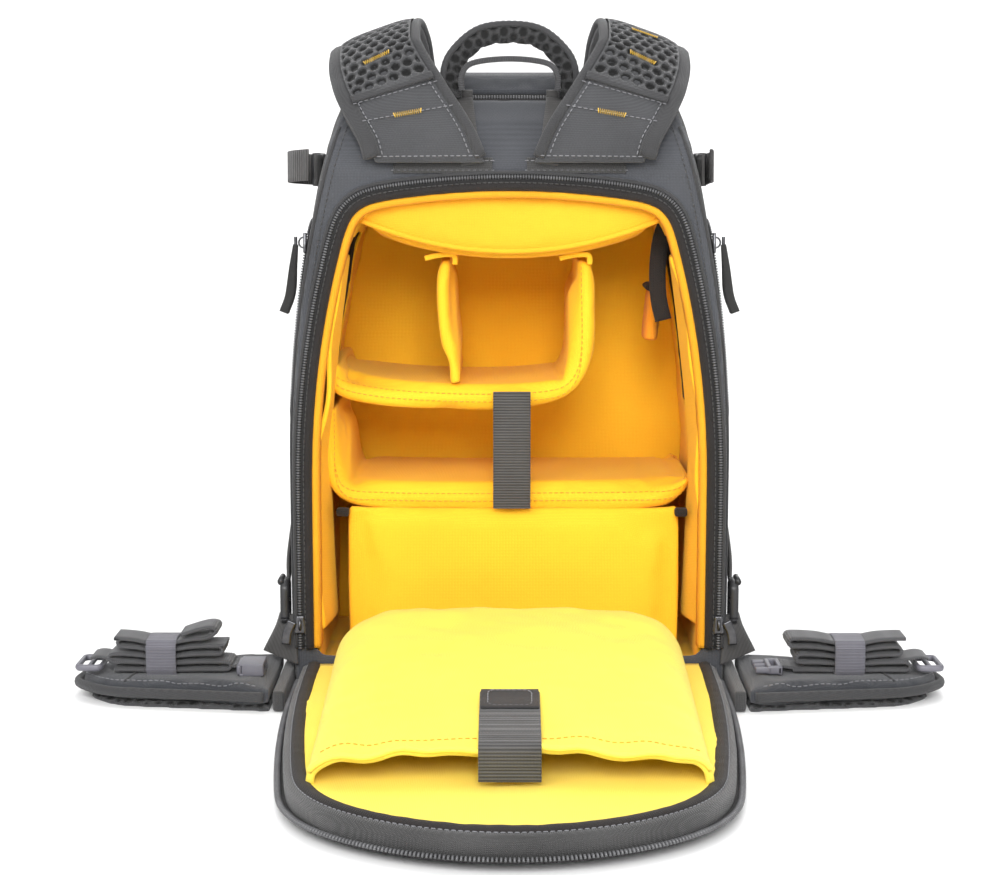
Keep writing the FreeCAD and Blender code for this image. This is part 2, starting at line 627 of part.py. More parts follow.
def make_hip_belt():
    """Hip-belt wings on the ground with folded webbing, keepers, tri-glides and buckle halves."""
    root, tip, front = size["wing_root"], size["wing_tip"], size["wing_front"]
    mesh, pad, deep = size["wing_mesh"], size["wing_pad"], size["wing_depth"]
    outline = rounded_wire("XY", [(root, front, 0), (tip - 26, front + 18, 60), (tip, front + 46, 20),
                                  (tip - 6, front + 84, 24), (root, front + deep, 0)])
    mesh_outline = rounded_wire("XY", [(root + 2, front + 6, 0), (tip - 34, front + 22, 50),
                                       (tip - 12, front + 48, 16), (tip - 16, front + 78, 20),
                                       (root + 2, front + deep - 6, 0)])
    roots = []
    top = mesh + pad
    for side_name, side in SIDES:
        node(f"hip_wing_{side_name}", mirrored(prism(outline, UP, mesh, pad), side))
        node(f"hip_mesh_{side_name}", mirrored(prism(mesh_outline, UP, 0, mesh - 0.1), side))
        bundle = box((210, front + 32, top + 2), (312, front + 60, top + 28))
        keeper = box((246, front + 29, top + 0.2), (272, front + 63, top + 31)).cut(
            box((240, front + 31, top + 1.8), (280, front + 61, top + 28.4)))
        folded = Part.makeCompound([mirrored(bundle, side), mirrored(keeper, side)])
        node(f"belt_webbing_{side_name}", folded)
        glide = box((314, front + 30, top + 4), (332, front + 62, top + 12)).cut(
            box((318, front + 34, top), (328, front + 58, top + 20)))
        roots.append(mirrored(box((169.5, front + 2, 2), (root - 0.5, front + deep, 20)), side))
        hardware = [glide, make_belt_buckle(side, front, top)]
        node(f"belt_hardware_{side_name}", Part.makeCompound([mirrored(piece, side) for piece in hardware]))
    node("wing_roots", Part.makeCompound(roots))


def make_belt_buckle(side, front, top):
    """One half of the hip-belt buckle: the socket on the left, the pronged half on the right."""
    if side == LEFT:
        return box((188, front + 26, top + 2), (209, front + 52, top + 12)).cut(
            box((187, front + 29, top + 4), (204, front + 49, top + 10)))
    half = box((198, front + 26, top + 2), (209, front + 52, top + 12))
    for place in (27, 37, 47):
        half = half.fuse(box((188, front + place, top + 4), (198, front + place + 4, top + 9)))
    return half


# ---------------------------------------------------------------- outer side

def make_outer_side():
    """Outer pocket with its zip, and the compression straps with side-release buckles."""
    far, thick, half = size["outer_face"], size["pocket_thick"], size["pocket_half_width"]
    outline = rounded_wire("XZ", [(-half, 36, 30), (half, 36, 30), (half - 10, 292, 46),
                                  (10 - half, 292, 46)])
    node("front_pocket", prism(outline, FRONT_TO_BACK, far + 0.3, thick))
    slider = box((64, far + thick + 2.3, 243), (76, far + thick + 6.3, 255))
    node("pocket_slider", slider)
    straps, sockets = [], []
    for side_name, side in SIDES:
        x = side_surface(396) + 3
        strap = box((x, -74, 396), (x + 2, -46, 420))
        front_strap = box((x, 40, 396), (x + 2, 66, 420))
        straps += [mirrored(strap, side), mirrored(front_strap, side)]
        width, tall = size["buckle_thick"], size["buckle_width"]
        low = 408 - tall / 2
        socket = box((x - 1, -46, low), (x - 1 + width, -18, low + tall)).cut(
            box((x + 0.6, -44, low + 2), (x - 1 + width - 1.6, -10, low + tall - 2)))
        sockets.append(mirrored(socket, side))
        prongs = box((x - 1, -17.4, low), (x - 1 + width, 6, low + tall))
        prongs = prongs.fuse(box((x + 2.4, 5, 396.5), (x + 4.4, 37, 419.5)))
        for place in (3, tall / 2 - 2, tall - 7):
            prongs = prongs.fuse(box((x + 1.2, -40, low + place), (x + width - 3.2, -17, low + place + 4)))
        node(f"side_buckle_clip_{side_name}", mirrored(prongs, side))
    node("side_straps", Part.makeCompound(straps))
    node("side_buckle_sockets", Part.makeCompound(sockets))


make_shell()
make_base()
make_opening()
make_lining()
make_dividers()
make_panel()
make_sliders()
make_handles()
make_shoulder_straps()
make_hip_belt()
make_outer_side()
doc.recompute()

failed = [item.Name for item in doc.Objects if {"Invalid", "Error"} & set(item.State)]
failed += [item.Label for item in nodes if item.Shape.isNull() or not item.Shape.isValid()]
if failed:
    raise RuntimeError(f"these pieces failed: {failed}")
os.makedirs("parts", exist_ok=True)
for item in nodes:
    item.Shape.exportStep(f"parts/{item.Label}.step")
print(len(nodes), "nodes written")
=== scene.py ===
import math

import bpy
import numpy as np
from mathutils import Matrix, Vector, geometry, noise
from mathutils.bvhtree import BVHTree


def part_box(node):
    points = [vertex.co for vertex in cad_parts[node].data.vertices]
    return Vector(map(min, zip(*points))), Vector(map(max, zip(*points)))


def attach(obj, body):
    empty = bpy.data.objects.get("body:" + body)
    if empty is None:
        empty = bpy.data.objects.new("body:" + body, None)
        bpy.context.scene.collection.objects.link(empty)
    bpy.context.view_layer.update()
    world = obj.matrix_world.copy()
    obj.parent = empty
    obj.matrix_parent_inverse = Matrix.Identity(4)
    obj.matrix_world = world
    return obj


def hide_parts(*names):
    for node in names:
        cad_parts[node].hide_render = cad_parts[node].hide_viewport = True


# Camera backpack, seen from its harness side with the harness panel laid on the ground.
# Metres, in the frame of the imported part: +X right, -Y towards the wearer, +Z up.

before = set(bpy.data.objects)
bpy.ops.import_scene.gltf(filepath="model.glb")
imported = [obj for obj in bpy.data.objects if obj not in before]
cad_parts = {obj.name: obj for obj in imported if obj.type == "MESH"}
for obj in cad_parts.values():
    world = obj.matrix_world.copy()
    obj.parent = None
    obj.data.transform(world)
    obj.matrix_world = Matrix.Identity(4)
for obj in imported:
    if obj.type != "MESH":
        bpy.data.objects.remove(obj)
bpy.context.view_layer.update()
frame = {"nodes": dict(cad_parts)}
NODES = frame["nodes"]

MM = 0.001
X, Y, Z = Vector((1, 0, 0)), Vector((0, 1, 0)), Vector((0, 0, 1))
SIDES = (("left", -1), ("right", 1))


# ---------------------------------------------------------------- materials

class Finish:
    """A procedural material whose patterns follow each piece's own coordinates."""

    def __init__(self, name, roughness, sheen=0.0, metallic=0.0):
        self.material = bpy.data.materials.new(name)
        self.material.use_nodes = True
        self.tree = self.material.node_tree
        self.shader = self.tree.nodes["Principled BSDF"]
        for socket, value in (("Roughness", roughness), ("Sheen Weight", sheen), ("Sheen Roughness", 0.4),
                              ("Metallic", metallic)):
            self.shader.inputs[socket].default_value = value
        self.place = self.add("ShaderNodeTexCoord").outputs["Object"]

    def feed(self, socket, value):
        """Links a socket to another node's output, or sets it to a plain value."""
        if isinstance(value, bpy.types.NodeSocket):
            self.tree.links.new(value, socket)
        else:
            socket.default_value = value

    def add(self, kind, **values):
        """A node, its sockets set by name and its properties by lower-case name."""
        node = self.tree.nodes.new(kind)
        for key, value in values.items():
            if key[0].islower():
                setattr(node, key, value)
            else:
                self.feed(node.inputs[key], value)
        return node

    def math(self, operation, *values):
        """The result of one arithmetic node."""
        node = self.add("ShaderNodeMath", operation=operation)
        for socket, value in zip(node.inputs, values):
            self.feed(socket, value)
        return node.outputs[0]

    def noise(self, scale, detail=3.0):
        """Soft noise with scale features to the metre."""
        return self.add("ShaderNodeTexNoise", Vector=self.place, Scale=scale, Detail=detail).outputs["Fac"]

    def grain(self, pitch):
        """A woven grain that looks alike on every plane: sine products of the three coordinates."""
        turns = self.add("ShaderNodeVectorMath", operation="SCALE", Vector=self.place, Scale=math.tau / pitch)
        waves = self.add("ShaderNodeVectorMath", operation="SINE", Vector=turns.outputs[0])
        parts = self.add("ShaderNodeSeparateXYZ", Vector=waves.outputs[0])
        swapped = self.add("ShaderNodeCombineXYZ", X=parts.outputs[2], Y=parts.outputs[0], Z=parts.outputs[1])
        product = self.add("ShaderNodeVectorMath", operation="DOT_PRODUCT")
        self.tree.links.new(waves.outputs[0], product.inputs[0])
        self.tree.links.new(swapped.outputs[0], product.inputs[1])
        return product.outputs["Value"]

    def ribs(self, pitch):
        """Ribs across a strap, from the piece's own lengthwise coordinate."""
        along = self.add("ShaderNodeAttribute", attribute_name="st")
        parts = self.add("ShaderNodeSeparateXYZ", Vector=along.outputs["Vector"])
        return self.math("SINE", self.math("MULTIPLY", parts.outputs[1], math.tau / pitch))

    def colour(self, factor, low, high):
        """Base colour that runs from low to high with a factor."""
        mix = self.add("ShaderNodeMix", data_type="RGBA")
        self.tree.links.new(factor, mix.inputs[0])
        mix.inputs[6].default_value = (*low, 1)
        mix.inputs[7].default_value = (*high, 1)
        self.tree.links.new(mix.outputs[2], self.shader.inputs["Base Color"])

    def bump(self, height, strength, distance):
        """Relief from a height pattern."""
        bump = self.add("ShaderNodeBump", Height=height, Strength=strength, Distance=distance)
        self.tree.links.new(bump.outputs[0], self.shader.inputs["Normal"])


def fabric(name, low, high, pitch, roughness=0.88, sheen=0.25, strength=0.5, blotch=14):
    """Woven cloth: fine weave, fuzzy mottling and slow changes of tone."""
    finish = Finish(name, roughness, sheen)
    weave = finish.grain(pitch)
    fuzz = finish.noise(900, 2)
    slow = finish.noise(blotch, 4)
    tone = finish.math("MULTIPLY_ADD", weave, 0.16, finish.math("MULTIPLY", slow, 0.62))
    tone = finish.math("MULTIPLY_ADD", fuzz, 0.32, tone)
    finish.colour(tone, low, high)
    finish.bump(finish.math("MULTIPLY_ADD", fuzz, 0.6, weave), strength, pitch * 0.35)
    return finish.material


def webbing_finish(name, low, high, pitch):
    """Woven strap: ribs across it and a fine twill between them."""
    finish = Finish(name, 0.72, 0.2)
    ribs = finish.ribs(pitch)
    twill = finish.grain(0.0009)
    tone = finish.math("MULTIPLY_ADD", ribs, 0.34, 0.42)
    tone = finish.math("MULTIPLY_ADD", twill, 0.08, tone)
    tone = finish.math("MULTIPLY_ADD", finish.noise(60), 0.25, tone)
    finish.colour(tone, low, high)
    finish.bump(finish.math("MULTIPLY_ADD", twill, 0.3, ribs), 0.6, 0.0004)
    return finish.material


def hole_mesh(name, low, high):
    """Air mesh: fuzzy knit whose holes, marked on the mesh itself, fall into shadow."""
    finish = Finish(name, 0.85, 0.3)
    holes = finish.add("ShaderNodeAttribute", attribute_name="hole").outputs["Fac"]
    fuzz = finish.noise(700, 2)
    knit = finish.grain(0.0011)
    tone = finish.math("MULTIPLY_ADD", fuzz, 0.5, finish.math("MULTIPLY_ADD", knit, 0.12, 0.3))
    tone = finish.math("SUBTRACT", tone, finish.math("MULTIPLY", holes, 0.95))
    finish.colour(tone, low, high)
    finish.bump(finish.math("MULTIPLY_ADD", fuzz, 0.5, knit), 0.5, 0.0004)
    return finish.material


def plastic(name, low, high, roughness=0.42):
    """Moulded plastic: faint flow marks and a spark-eroded grain."""
    finish = Finish(name, roughness)
    finish.colour(finish.noise(45, 5), low, high)
    fine = finish.noise(1400, 2)
    finish.tree.links.new(finish.math("MULTIPLY_ADD", fine, 0.2, roughness - 0.1),
                          finish.shader.inputs["Roughness"])
    finish.bump(fine, 0.18, 0.0002)
    return finish.material


def metal(name, low, high):
    """Plated metal with handling marks."""
    finish = Finish(name, 0.3, metallic=0.9)
    wear = finish.noise(260, 6)
    finish.colour(wear, low, high)
    finish.tree.links.new(finish.math("MULTIPLY_ADD", wear, 0.3, 0.2), finish.shader.inputs["Roughness"])
    finish.bump(wear, 0.12, 0.0002)
    return finish.material


GREY = fabric("grey_fabric", (0.018, 0.019, 0.022), (0.100, 0.105, 0.119), 0.0011)
STRAP_GREY = fabric("strap_fabric", (0.016, 0.016, 0.018), (0.090, 0.092, 0.098), 0.0011)
WING_GREY = fabric("wing_fabric", (0.013, 0.014, 0.017), (0.066, 0.070, 0.080), 0.0011)
CHARCOAL = fabric("charcoal_rim", (0.010, 0.010, 0.010), (0.080, 0.079, 0.079), 0.0013)
SIDE_GREY = fabric("ribbed_side_fabric", (0.008, 0.008, 0.008), (0.085, 0.084, 0.083), 0.0022, strength=0.9)
DARK = fabric("dark_binding", (0.002, 0.0015, 0.0015), (0.020, 0.015, 0.014), 0.0013, 0.8, 0.05)
BLACK_FABRIC = fabric("black_pull", (0.003, 0.003, 0.003), (0.030, 0.029, 0.029), 0.0009, 0.7, 0.1)
EDGE = fabric("bound_edge", (0.010, 0.010, 0.011), (0.062, 0.062, 0.065), 0.0010, 0.8, 0.15)
TAPE = fabric("zip_tape", (0.003, 0.003, 0.003), (0.018, 0.017, 0.017), 0.0009, 0.75, 0.05)
YELLOW = fabric("yellow_lining", (0.90, 0.41, 0.006), (0.98, 0.64, 0.020), 0.0012, 0.8, 0.06, 0.35, 9)
HEM = fabric("lining_hem", (0.70, 0.27, 0.003), (0.90, 0.46, 0.010), 0.0012, 0.8, 0.05)
PALE = fabric("pale_yellow_lining", (0.90, 0.66, 0.055), (0.96, 0.80, 0.13), 0.0011, 0.8, 0.08, 0.3, 7)
# Lining yellow made darker and more orange: painted shade on the pad under the top compartment.
SHADED_CEILING_YELLOW = fabric("ceiling_lining_painted_shade", (0.80, 0.33, 0.004), (0.90, 0.50, 0.014), 0.0012, 0.8, 0.06, 0.35, 9)
ORANGE = fabric("orange_pocket", (0.75, 0.20, 0.004), (0.98, 0.40, 0.01), 0.0011, 0.8, 0.08)
FOAM = fabric("panel_foam", (0.030, 0.030, 0.032), (0.10, 0.10, 0.11), 0.0030, 0.95, 0.1)
WEBBING = webbing_finish("webbing", (0.006, 0.006, 0.006), (0.100, 0.096, 0.094), 0.0022)
DARK_WEBBING = webbing_finish("dark_webbing", (0.006, 0.006, 0.007), (0.070, 0.070, 0.074), 0.0013)
SOFT_WEBBING = webbing_finish("soft_webbing", (0.010, 0.010, 0.011), (0.098, 0.098, 0.104), 0.0016)
ELASTIC = webbing_finish("keeper_elastic", (0.060, 0.059, 0.072), (0.170, 0.166, 0.195), 0.0012)
AIR_MESH = hole_mesh("air_mesh", (0.001, 0.001, 0.001), (0.095, 0.096, 0.101))
BLACK_MESH = hole_mesh("black_air_mesh", (0.001, 0.001, 0.001), (0.060, 0.060, 0.062))
LILAC = plastic("grey_plastic", (0.085, 0.084, 0.100), (0.165, 0.162, 0.190))
BLACK = plastic("black_plastic", (0.012, 0.012, 0.013), (0.040, 0.040, 0.043))
# Zip teeth in a lighter grey than their black coil: partly the teeth's own dark plastic, partly painted
# highlight for the glints along them.
TEETH_PAINTED_HIGHLIGHT = plastic("zip_coil_painted_highlight", (0.040, 0.040, 0.043), (0.150, 0.150, 0.156), 0.35)
METAL = metal("zip_metal", (0.035, 0.035, 0.038), (0.17, 0.17, 0.18))
LABEL = fabric("blank_label", (0.006, 0.006, 0.007), (0.030, 0.029, 0.030), 0.0007, 0.7, 0.1)
THREAD = fabric("grey_thread", (0.10, 0.10, 0.11), (0.30, 0.30, 0.32), 0.0005, 0.7, 0.3)
DARK_THREAD = fabric("dark_thread", (0.010, 0.010, 0.010), (0.060, 0.058, 0.056), 0.0005, 0.7, 0.3)
YELLOW_THREAD = fabric("yellow_thread", (0.80, 0.42, 0.01), (1.0, 0.68, 0.04), 0.0005, 0.7, 0.3)
LINING_THREAD = fabric("lining_thread", (0.62, 0.26, 0.003), (0.85, 0.42, 0.01), 0.0005, 0.7, 0.2)


# ---------------------------------------------------------------- mesh helpers

def settle(piece, body):
    if body:
        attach(piece, body)
    return piece


def modify(piece, kind, **settings):
    """Adds a modifier with its settings."""
    modifier = piece.modifiers.new(kind.lower(), kind)
    for key, value in settings.items():
        setattr(modifier, key, value)
    return modifier


def mark(mesh, name, kind, field, values):
    """Stores one value per vertex as a named attribute."""
    mesh.attributes.new(name, kind, "POINT").data.foreach_set(field, np.asarray(values, np.float32).ravel())


def build(name, points, faces, material, body=None, st=None, hole=None):
    """A mesh piece from its points and faces. st holds (across, along) for strap patterns."""
    mesh = bpy.data.meshes.new(name)
    mesh.from_pydata([tuple(point) for point in points], [], faces)
    mesh.validate()
    mesh.polygons.foreach_set("use_smooth", [True] * len(mesh.polygons))
    if st is not None:
        mark(mesh, "st", "FLOAT_VECTOR", "vector", st)
    if hole is not None:
        mark(mesh, "hole", "FLOAT", "value", hole)
    mesh.materials.append(material)
    piece = bpy.data.objects.new(name, mesh)
    bpy.context.scene.collection.objects.link(piece)
    return settle(piece, body)


def resample(path, step):
    """The same line through evenly spaced points."""
    points = np.array([tuple(point) for point in path])
    lengths = np.r_[0, np.cumsum(np.linalg.norm(np.diff(points, axis=0), axis=1))]
    count = max(2, round(lengths[-1] / step) + 1)
    marks = np.linspace(0, lengths[-1], count)
    return [Vector([np.interp(mark, lengths, points[:, axis]) for axis in range(3)]) for mark in marks]


def curve(points, step=0.002):
    """A smooth line through given points (Catmull-Rom), evenly sampled."""
    ends = [points[0] * 2 - points[1], *points, points[-1] * 2 - points[-2]]
    line = []
    for a, b, c, d in zip(ends, ends[1:], ends[2:], ends[3:]):
        for k in range(16):
            t = k / 16
            line.append(0.5 * ((2 * b) + (c - a) * t + (2 * a - 5 * b + 4 * c - d) * t * t
                               + (3 * b - a - 3 * c + d) * t ** 3))
    return resample(line + [points[-1]], step)


def directions(line):
    """The unit direction of a line at each of its points."""
    last = len(line) - 1
    return [(line[min(index + 1, last)] - line[max(index - 1, 0)]).normalized() for index in range(len(line))]


def matched(out, count):
    """Outward directions for a line of count points, picked from those of a coarser one."""
    if not isinstance(out, list):
        return out
    return [out[min(len(out) - 1, round(index * (len(out) - 1) / (count - 1)))] for index in range(count)]


def grid_faces(rows, columns):
    """Faces of a sheet whose points are listed row by row, with one more of each than of faces."""
    width = columns + 1
    starts = [row * width + column for row in range(rows) for column in range(columns)]
    return [(a, a + 1, a + width + 1, a + width) for a in starts]


def in_metres(rows, sign=1):
    """Points from rows of millimetres, mirrored to the left side where sign is -1."""
    return [Vector((sign * x, y, z)) * MM for x, y, z in rows]


def coordinates(node):
    """The mesh points of a CAD node."""
    return np.array([tuple(vertex.co) for vertex in NODES[node].data.vertices])


def hull(node, first, second):
    """The convex outline of a CAD node in the plane of two axes."""
    flat = np.unique(np.round(coordinates(node)[:, [first, second]], 6), axis=0)
    return flat[geometry.convex_hull_2d([tuple(point) for point in flat])]


ARCH_SMOOTHING = 6        # rounds of smoothing that take the facets out of an outline
FOOT_ROOM = 0.004         # points this near the foot line belong to the foot


def arch_line(node, first, second, foot, step, direction):
    """An arch-shaped outline from one foot to the other, without the straight line between its feet."""
    ring = hull(node, first, second)
    heights = (ring[:, 1] - foot) * direction
    low = [index for index in range(len(ring)) if heights[index] < FOOT_ROOM]
    start = min(low, key=lambda index: ring[index][0])
    ring = np.roll(ring, -start, axis=0)
    if abs(ring[1][0] - ring[0][0]) > 0.1 or (ring[1][1] - ring[0][1]) * direction < 0:
        ring = np.r_[ring[:1], ring[:0:-1]]
    line = resample([Vector((*point, 0)) for point in ring], step)
    for _ in range(ARCH_SMOOTHING):
        inner = [(a + b * 2 + c) / 4 for a, b, c in zip(line, line[1:], line[2:])]
        line = [line[0], *inner, line[-1]]
    return line


def inset(line, distance):
    """The line moved towards the middle of its arch."""
    return [point + Vector((run.y, -run.x, 0)) * distance for point, run in zip(line, directions(line))]


def sections(path, out):
    """Frames along a path: point, across, out and lengthwise vectors."""
    frames = []
    for index, (point, run) in enumerate(zip(path, directions(path))):
        up = out[index] if isinstance(out, list) else out
        up = (up - run * run.dot(up)).normalized()
        frames.append((point, run.cross(up).normalized(), up, run))
    return frames


def sweep_data(path, profile, out, shape=None, caps=True):
    """Points, faces and strap coordinates of a closed profile drawn along a path, or along ready-made
    frames. profile is a list of (across, out); shape(share, across, out) may change it along the way."""
    frames = path if isinstance(path[0], tuple) else sections(path, out)
    count, rows = len(profile), len(frames)
    travelled = 0.0
    points, st = [], []
    for row, (point, across, up, _) in enumerate(frames):
        travelled += (point - frames[row - 1][0]).length if row else 0.0
        for a, b in profile:
            if shape:
                a, b = shape(row / (rows - 1), a, b)
            points.append(point + across * a + up * b)
            st.append((a, travelled, b))
    faces = []
    for row in range(rows - 1):
        for column in range(count):
            a, b = row * count + column, row * count + (column + 1) % count
            faces.append((a, b, b + count, a + count))
    if caps:
        faces.append(tuple(range(count))[::-1])
        faces.append(tuple(range((rows - 1) * count, rows * count)))
    return points, faces, st


def sweep(name, path, profile, out, material, body, shape=None):
    """A piece with one closed profile all along a path."""
    points, faces, st = sweep_data(path, profile, out, shape)
    return build(name, points, faces, material, body, st)


PAD_CELL = 0.0045         # mesh size of the pads that the cloth simulation swells


def padded_profile(width, thickness):
    """The rounded section of a padded sheet, fine enough to be swollen."""
    half, edge = width / 2, thickness / 2
    count = max(4, round(width / PAD_CELL))
    flat = [(-half + edge) + (width - thickness) * k / count for k in range(count + 1)]
    top = [(x, edge) for x in flat]
    turn = [(half - edge + edge * math.sin(math.pi * k / 4), edge * math.cos(math.pi * k / 4))
            for k in (1, 2, 3)]
    under = [(x, -edge) for x in reversed(flat)]
    back = [(-x, -y) for x, y in turn]
    return top + turn + under + back


def flat_profile(width, thickness, crown=0.0):
    """A flat strap's section with softly rounded edges, crowned if asked."""
    half, edge = width / 2, thickness / 2
    across = [-half, -half * 0.97, -half * 0.6, 0, half * 0.6, half * 0.97, half]
    top = [(a, edge * (0.45 if abs(a) == half else 1) + crown * (1 - (a / half) ** 2)) for a in across]
    return top + [(a, -b) for a, b in reversed(top)]


def round_profile(width, thickness, points=12):
    """An oval section."""
    return [(math.cos(math.tau * k / points) * width / 2, math.sin(math.tau * k / points) * thickness / 2)
            for k in range(points)]


def webbing(name, path, width, thickness, out, body, material=None, pitch=0.0022):
    """Flat webbing whose crosswise ribs stand out of its faces."""
    fine = resample(path, pitch / 2)
    last = len(fine) - 1

    def ribbed(share, a, b):
        return a, b * (1.16 if round(share * last) % 2 else 0.84)
    return sweep(name, fine, flat_profile(width, thickness), matched(out, len(fine)), material or WEBBING,
                 body, shape=ribbed)


def repeat(name, path, out, pitch, unit, material, body):
    """The same small block set again and again along a path, as one piece."""
    line = resample(path, pitch)
    corners, sides = unit
    points, faces = [], []
    for point, across, up, run in sections(line, matched(out, len(line))):
        base = len(points)
        for a, along, b in corners:
            points.append(point + across * a + run * along + up * b)
        faces.extend(tuple(base + index for index in side) for side in sides)
    return build(name, points, faces, material, body)


def pill(width, length, height):
    """A small rounded block: stitch or zip tooth."""
    corners = []
    for along, share in ((-0.5, 0.45), (-0.32, 1.0), (0.32, 1.0), (0.5, 0.45)):
        for a, b in ((-0.5, 0.0), (-0.3, 0.8), (0.0, 1.0), (0.3, 0.8), (0.5, 0.0), (0.0, -0.4)):
            corners.append((a * width * share, along * length, b * height * share))
    sides = [tuple(range(6)), tuple(range(23, 17, -1))]
    for ring in range(3):
        for k in range(6):
            a, b = ring * 6 + k, ring * 6 + (k + 1) % 6
            sides.append((a, a + 6, b + 6, b))
    return corners, sides


STITCH = pill(0.0008, 0.0030, 0.0005)
TOOTH = pill(0.0034, 0.0014, 0.0013)
TOOTH_PITCH = 0.0021
PANEL_TOOTH = pill(0.0050, 0.0016, 0.0022)


def stitches(name, path, out, body, material=None, pitch=0.0045):
    """A row of stitches on a line."""
    return repeat(name, path, out, pitch, STITCH, material or THREAD, body)


def surface(piece):
    """A ray-cast tree over a piece's mesh."""
    return BVHTree.FromPolygons([vertex.co.copy() for vertex in piece.data.vertices],
                                [tuple(polygon.vertices) for polygon in piece.data.polygons])


def hug(tree, path, direction, lift, reach=1.0):
    """The path laid on a surface along a direction, with the surface's normals. Points that miss it,
    or meet it further than reach from their start, are left out."""
    line, normals = [], []
    for index, point in enumerate(path):
        aim = direction[index] if isinstance(direction, list) else direction
        hit, normal = tree.ray_cast(point - aim * 0.3, aim, reach)[:2]
        if hit is None:
            continue
        if normal.dot(aim) > 0:
            normal = -normal
        line.append(hit + normal * lift)
        normals.append(normal)
    return line, normals


def fill(name, outline, rings, height, material, body, out, thickness):
    """A sheet with two faces inside a convex outline. height(place, share) sets where each point goes;
    share is 0 in the middle and 1 at the edge."""
    middle = sum(outline, Vector()) / len(outline)
    count = len(outline)
    points = []
    for layer in range(2):
        for ring in range(rings, 0, -1):
            for point in outline:
                place = middle + (point - middle) * (ring / rings)
                points.append(height(place, ring / rings) - out * thickness * layer)
        points.append(height(middle, 0.0) - out * thickness * layer)
    size = rings * count + 1
    faces = []
    for layer in range(2):
        base = layer * size
        layer_faces = []
        for ring in range(rings - 1):
            for k in range(count):
                a, b = base + ring * count + k, base + ring * count + (k + 1) % count
                layer_faces.append((a, b, b + count, a + count))
        inner = base + (rings - 1) * count
        layer_faces.extend((inner + k, inner + (k + 1) % count, base + size - 1) for k in range(count))
        faces.extend(layer_faces if layer == 0 else [face[::-1] for face in layer_faces])
    faces.extend((k, size + k, size + (k + 1) % count, (k + 1) % count) for k in range(count))
    return build(name, points, faces, material, body)


def wobble(point, amount, scale, seed=0.0):
    """A small smooth push that differs from place to place."""
    return noise.noise(Vector(point) * scale + Vector((seed, seed * 1.7, -seed))) * amount


def block(name, low, high, bevel, material):
    """A moulded block with rounded edges."""
    low, high = Vector(low), Vector(high)
    corners = [Vector((x, y, z)) for z in (low.z, high.z) for y in (low.y, high.y) for x in (low.x, high.x)]
    faces = [(0, 2, 3, 1), (4, 5, 7, 6), (0, 1, 5, 4), (2, 6, 7, 3), (0, 4, 6, 2), (1, 3, 7, 5)]
    piece = build(name, corners, faces, material)
    modify(piece, "BEVEL", width=bevel, segments=3, limit_method="NONE")
    return bake(piece)


def wear(piece, material):
    """Gives a piece one material in place of those it has."""
    piece.data.materials.clear()
    piece.data.materials.append(material)


def bake(piece):
    """Applies a piece's modifiers to its mesh."""
    bpy.context.view_layer.update()
    shaped = piece.evaluated_get(bpy.context.evaluated_depsgraph_get())
    mesh = bpy.data.meshes.new_from_object(shaped)
    piece.modifiers.clear()
    old = piece.data
    piece.data = mesh
    bpy.data.meshes.remove(old)
    mesh.name = piece.name
    mesh.polygons.foreach_set("use_smooth", [True] * len(mesh.polygons))
    return piece


def join(name, pieces, body):
    """Several meshes as one piece, each keeping its material."""
    points, faces, indices, materials = [], [], [], []
    for piece in pieces:
        base = len(points)
        world = piece.matrix_world
        points.extend(world @ vertex.co for vertex in piece.data.vertices)
        for polygon in piece.data.polygons:
            faces.append(tuple(base + index for index in polygon.vertices))
            material = piece.data.materials[polygon.material_index]
            if material not in materials:
                materials.append(material)
            indices.append(materials.index(material))
        mesh = piece.data
        bpy.data.objects.remove(piece)
        bpy.data.meshes.remove(mesh)
    whole = build(name, points, faces, materials[0])
    for material in materials[1:]:
        whole.data.materials.append(material)
    if len(whole.data.polygons) == len(indices):
        whole.data.polygons.foreach_set("material_index", indices)
    return settle(whole, body)


# ---------------------------------------------------------------- padding

FRAMES = 20
pads = []


def soft_copy(name, nodes, material, body, voxel, smooth, shrink):
    """A rounded copy of soft CAD pieces, ready to be padded, standing for them."""
    points, faces = [], []
    for node in nodes:
        base = len(points)
        mesh = NODES[node].data
        points.extend(vertex.co.copy() for vertex in mesh.vertices)
        faces.extend(tuple(base + index for index in polygon.vertices) for polygon in mesh.polygons)
    piece = build(name, points, faces, material)
    modify(piece, "WELD", merge_threshold=0.00002)
    modify(piece, "REMESH", mode="VOXEL", voxel_size=voxel)
    modify(piece, "SMOOTH", iterations=smooth, factor=0.5)
    if shrink:
        modify(piece, "DISPLACE", strength=-shrink, mid_level=0.0)
    bake(piece)
    wear(piece, material)
    settle(piece, body)
    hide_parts(*nodes)
    return piece


def pad_out(piece, cap, pressure, held=None):
    """Lists a piece for the one cloth simulation that swells every pad: cap is the furthest that a point
    may move, and held(point) keeps points still."""
    pads.append((piece, cap, pressure, held))


def padded_cover(name, nodes, material, body, voxel, smooth, shrink, swell):
    """A soft copy that is declared as padded and swells in the simulation."""
    piece = soft_copy(name, nodes, material, body, voxel, smooth, shrink)
    pad_out(piece, *swell)
    return piece


def vertex_array(mesh):
    """A mesh's points as an array."""
    co = np.zeros(len(mesh.vertices) * 3, np.float32)
    mesh.vertices.foreach_get("co", co)
    return co.reshape(-1, 3)


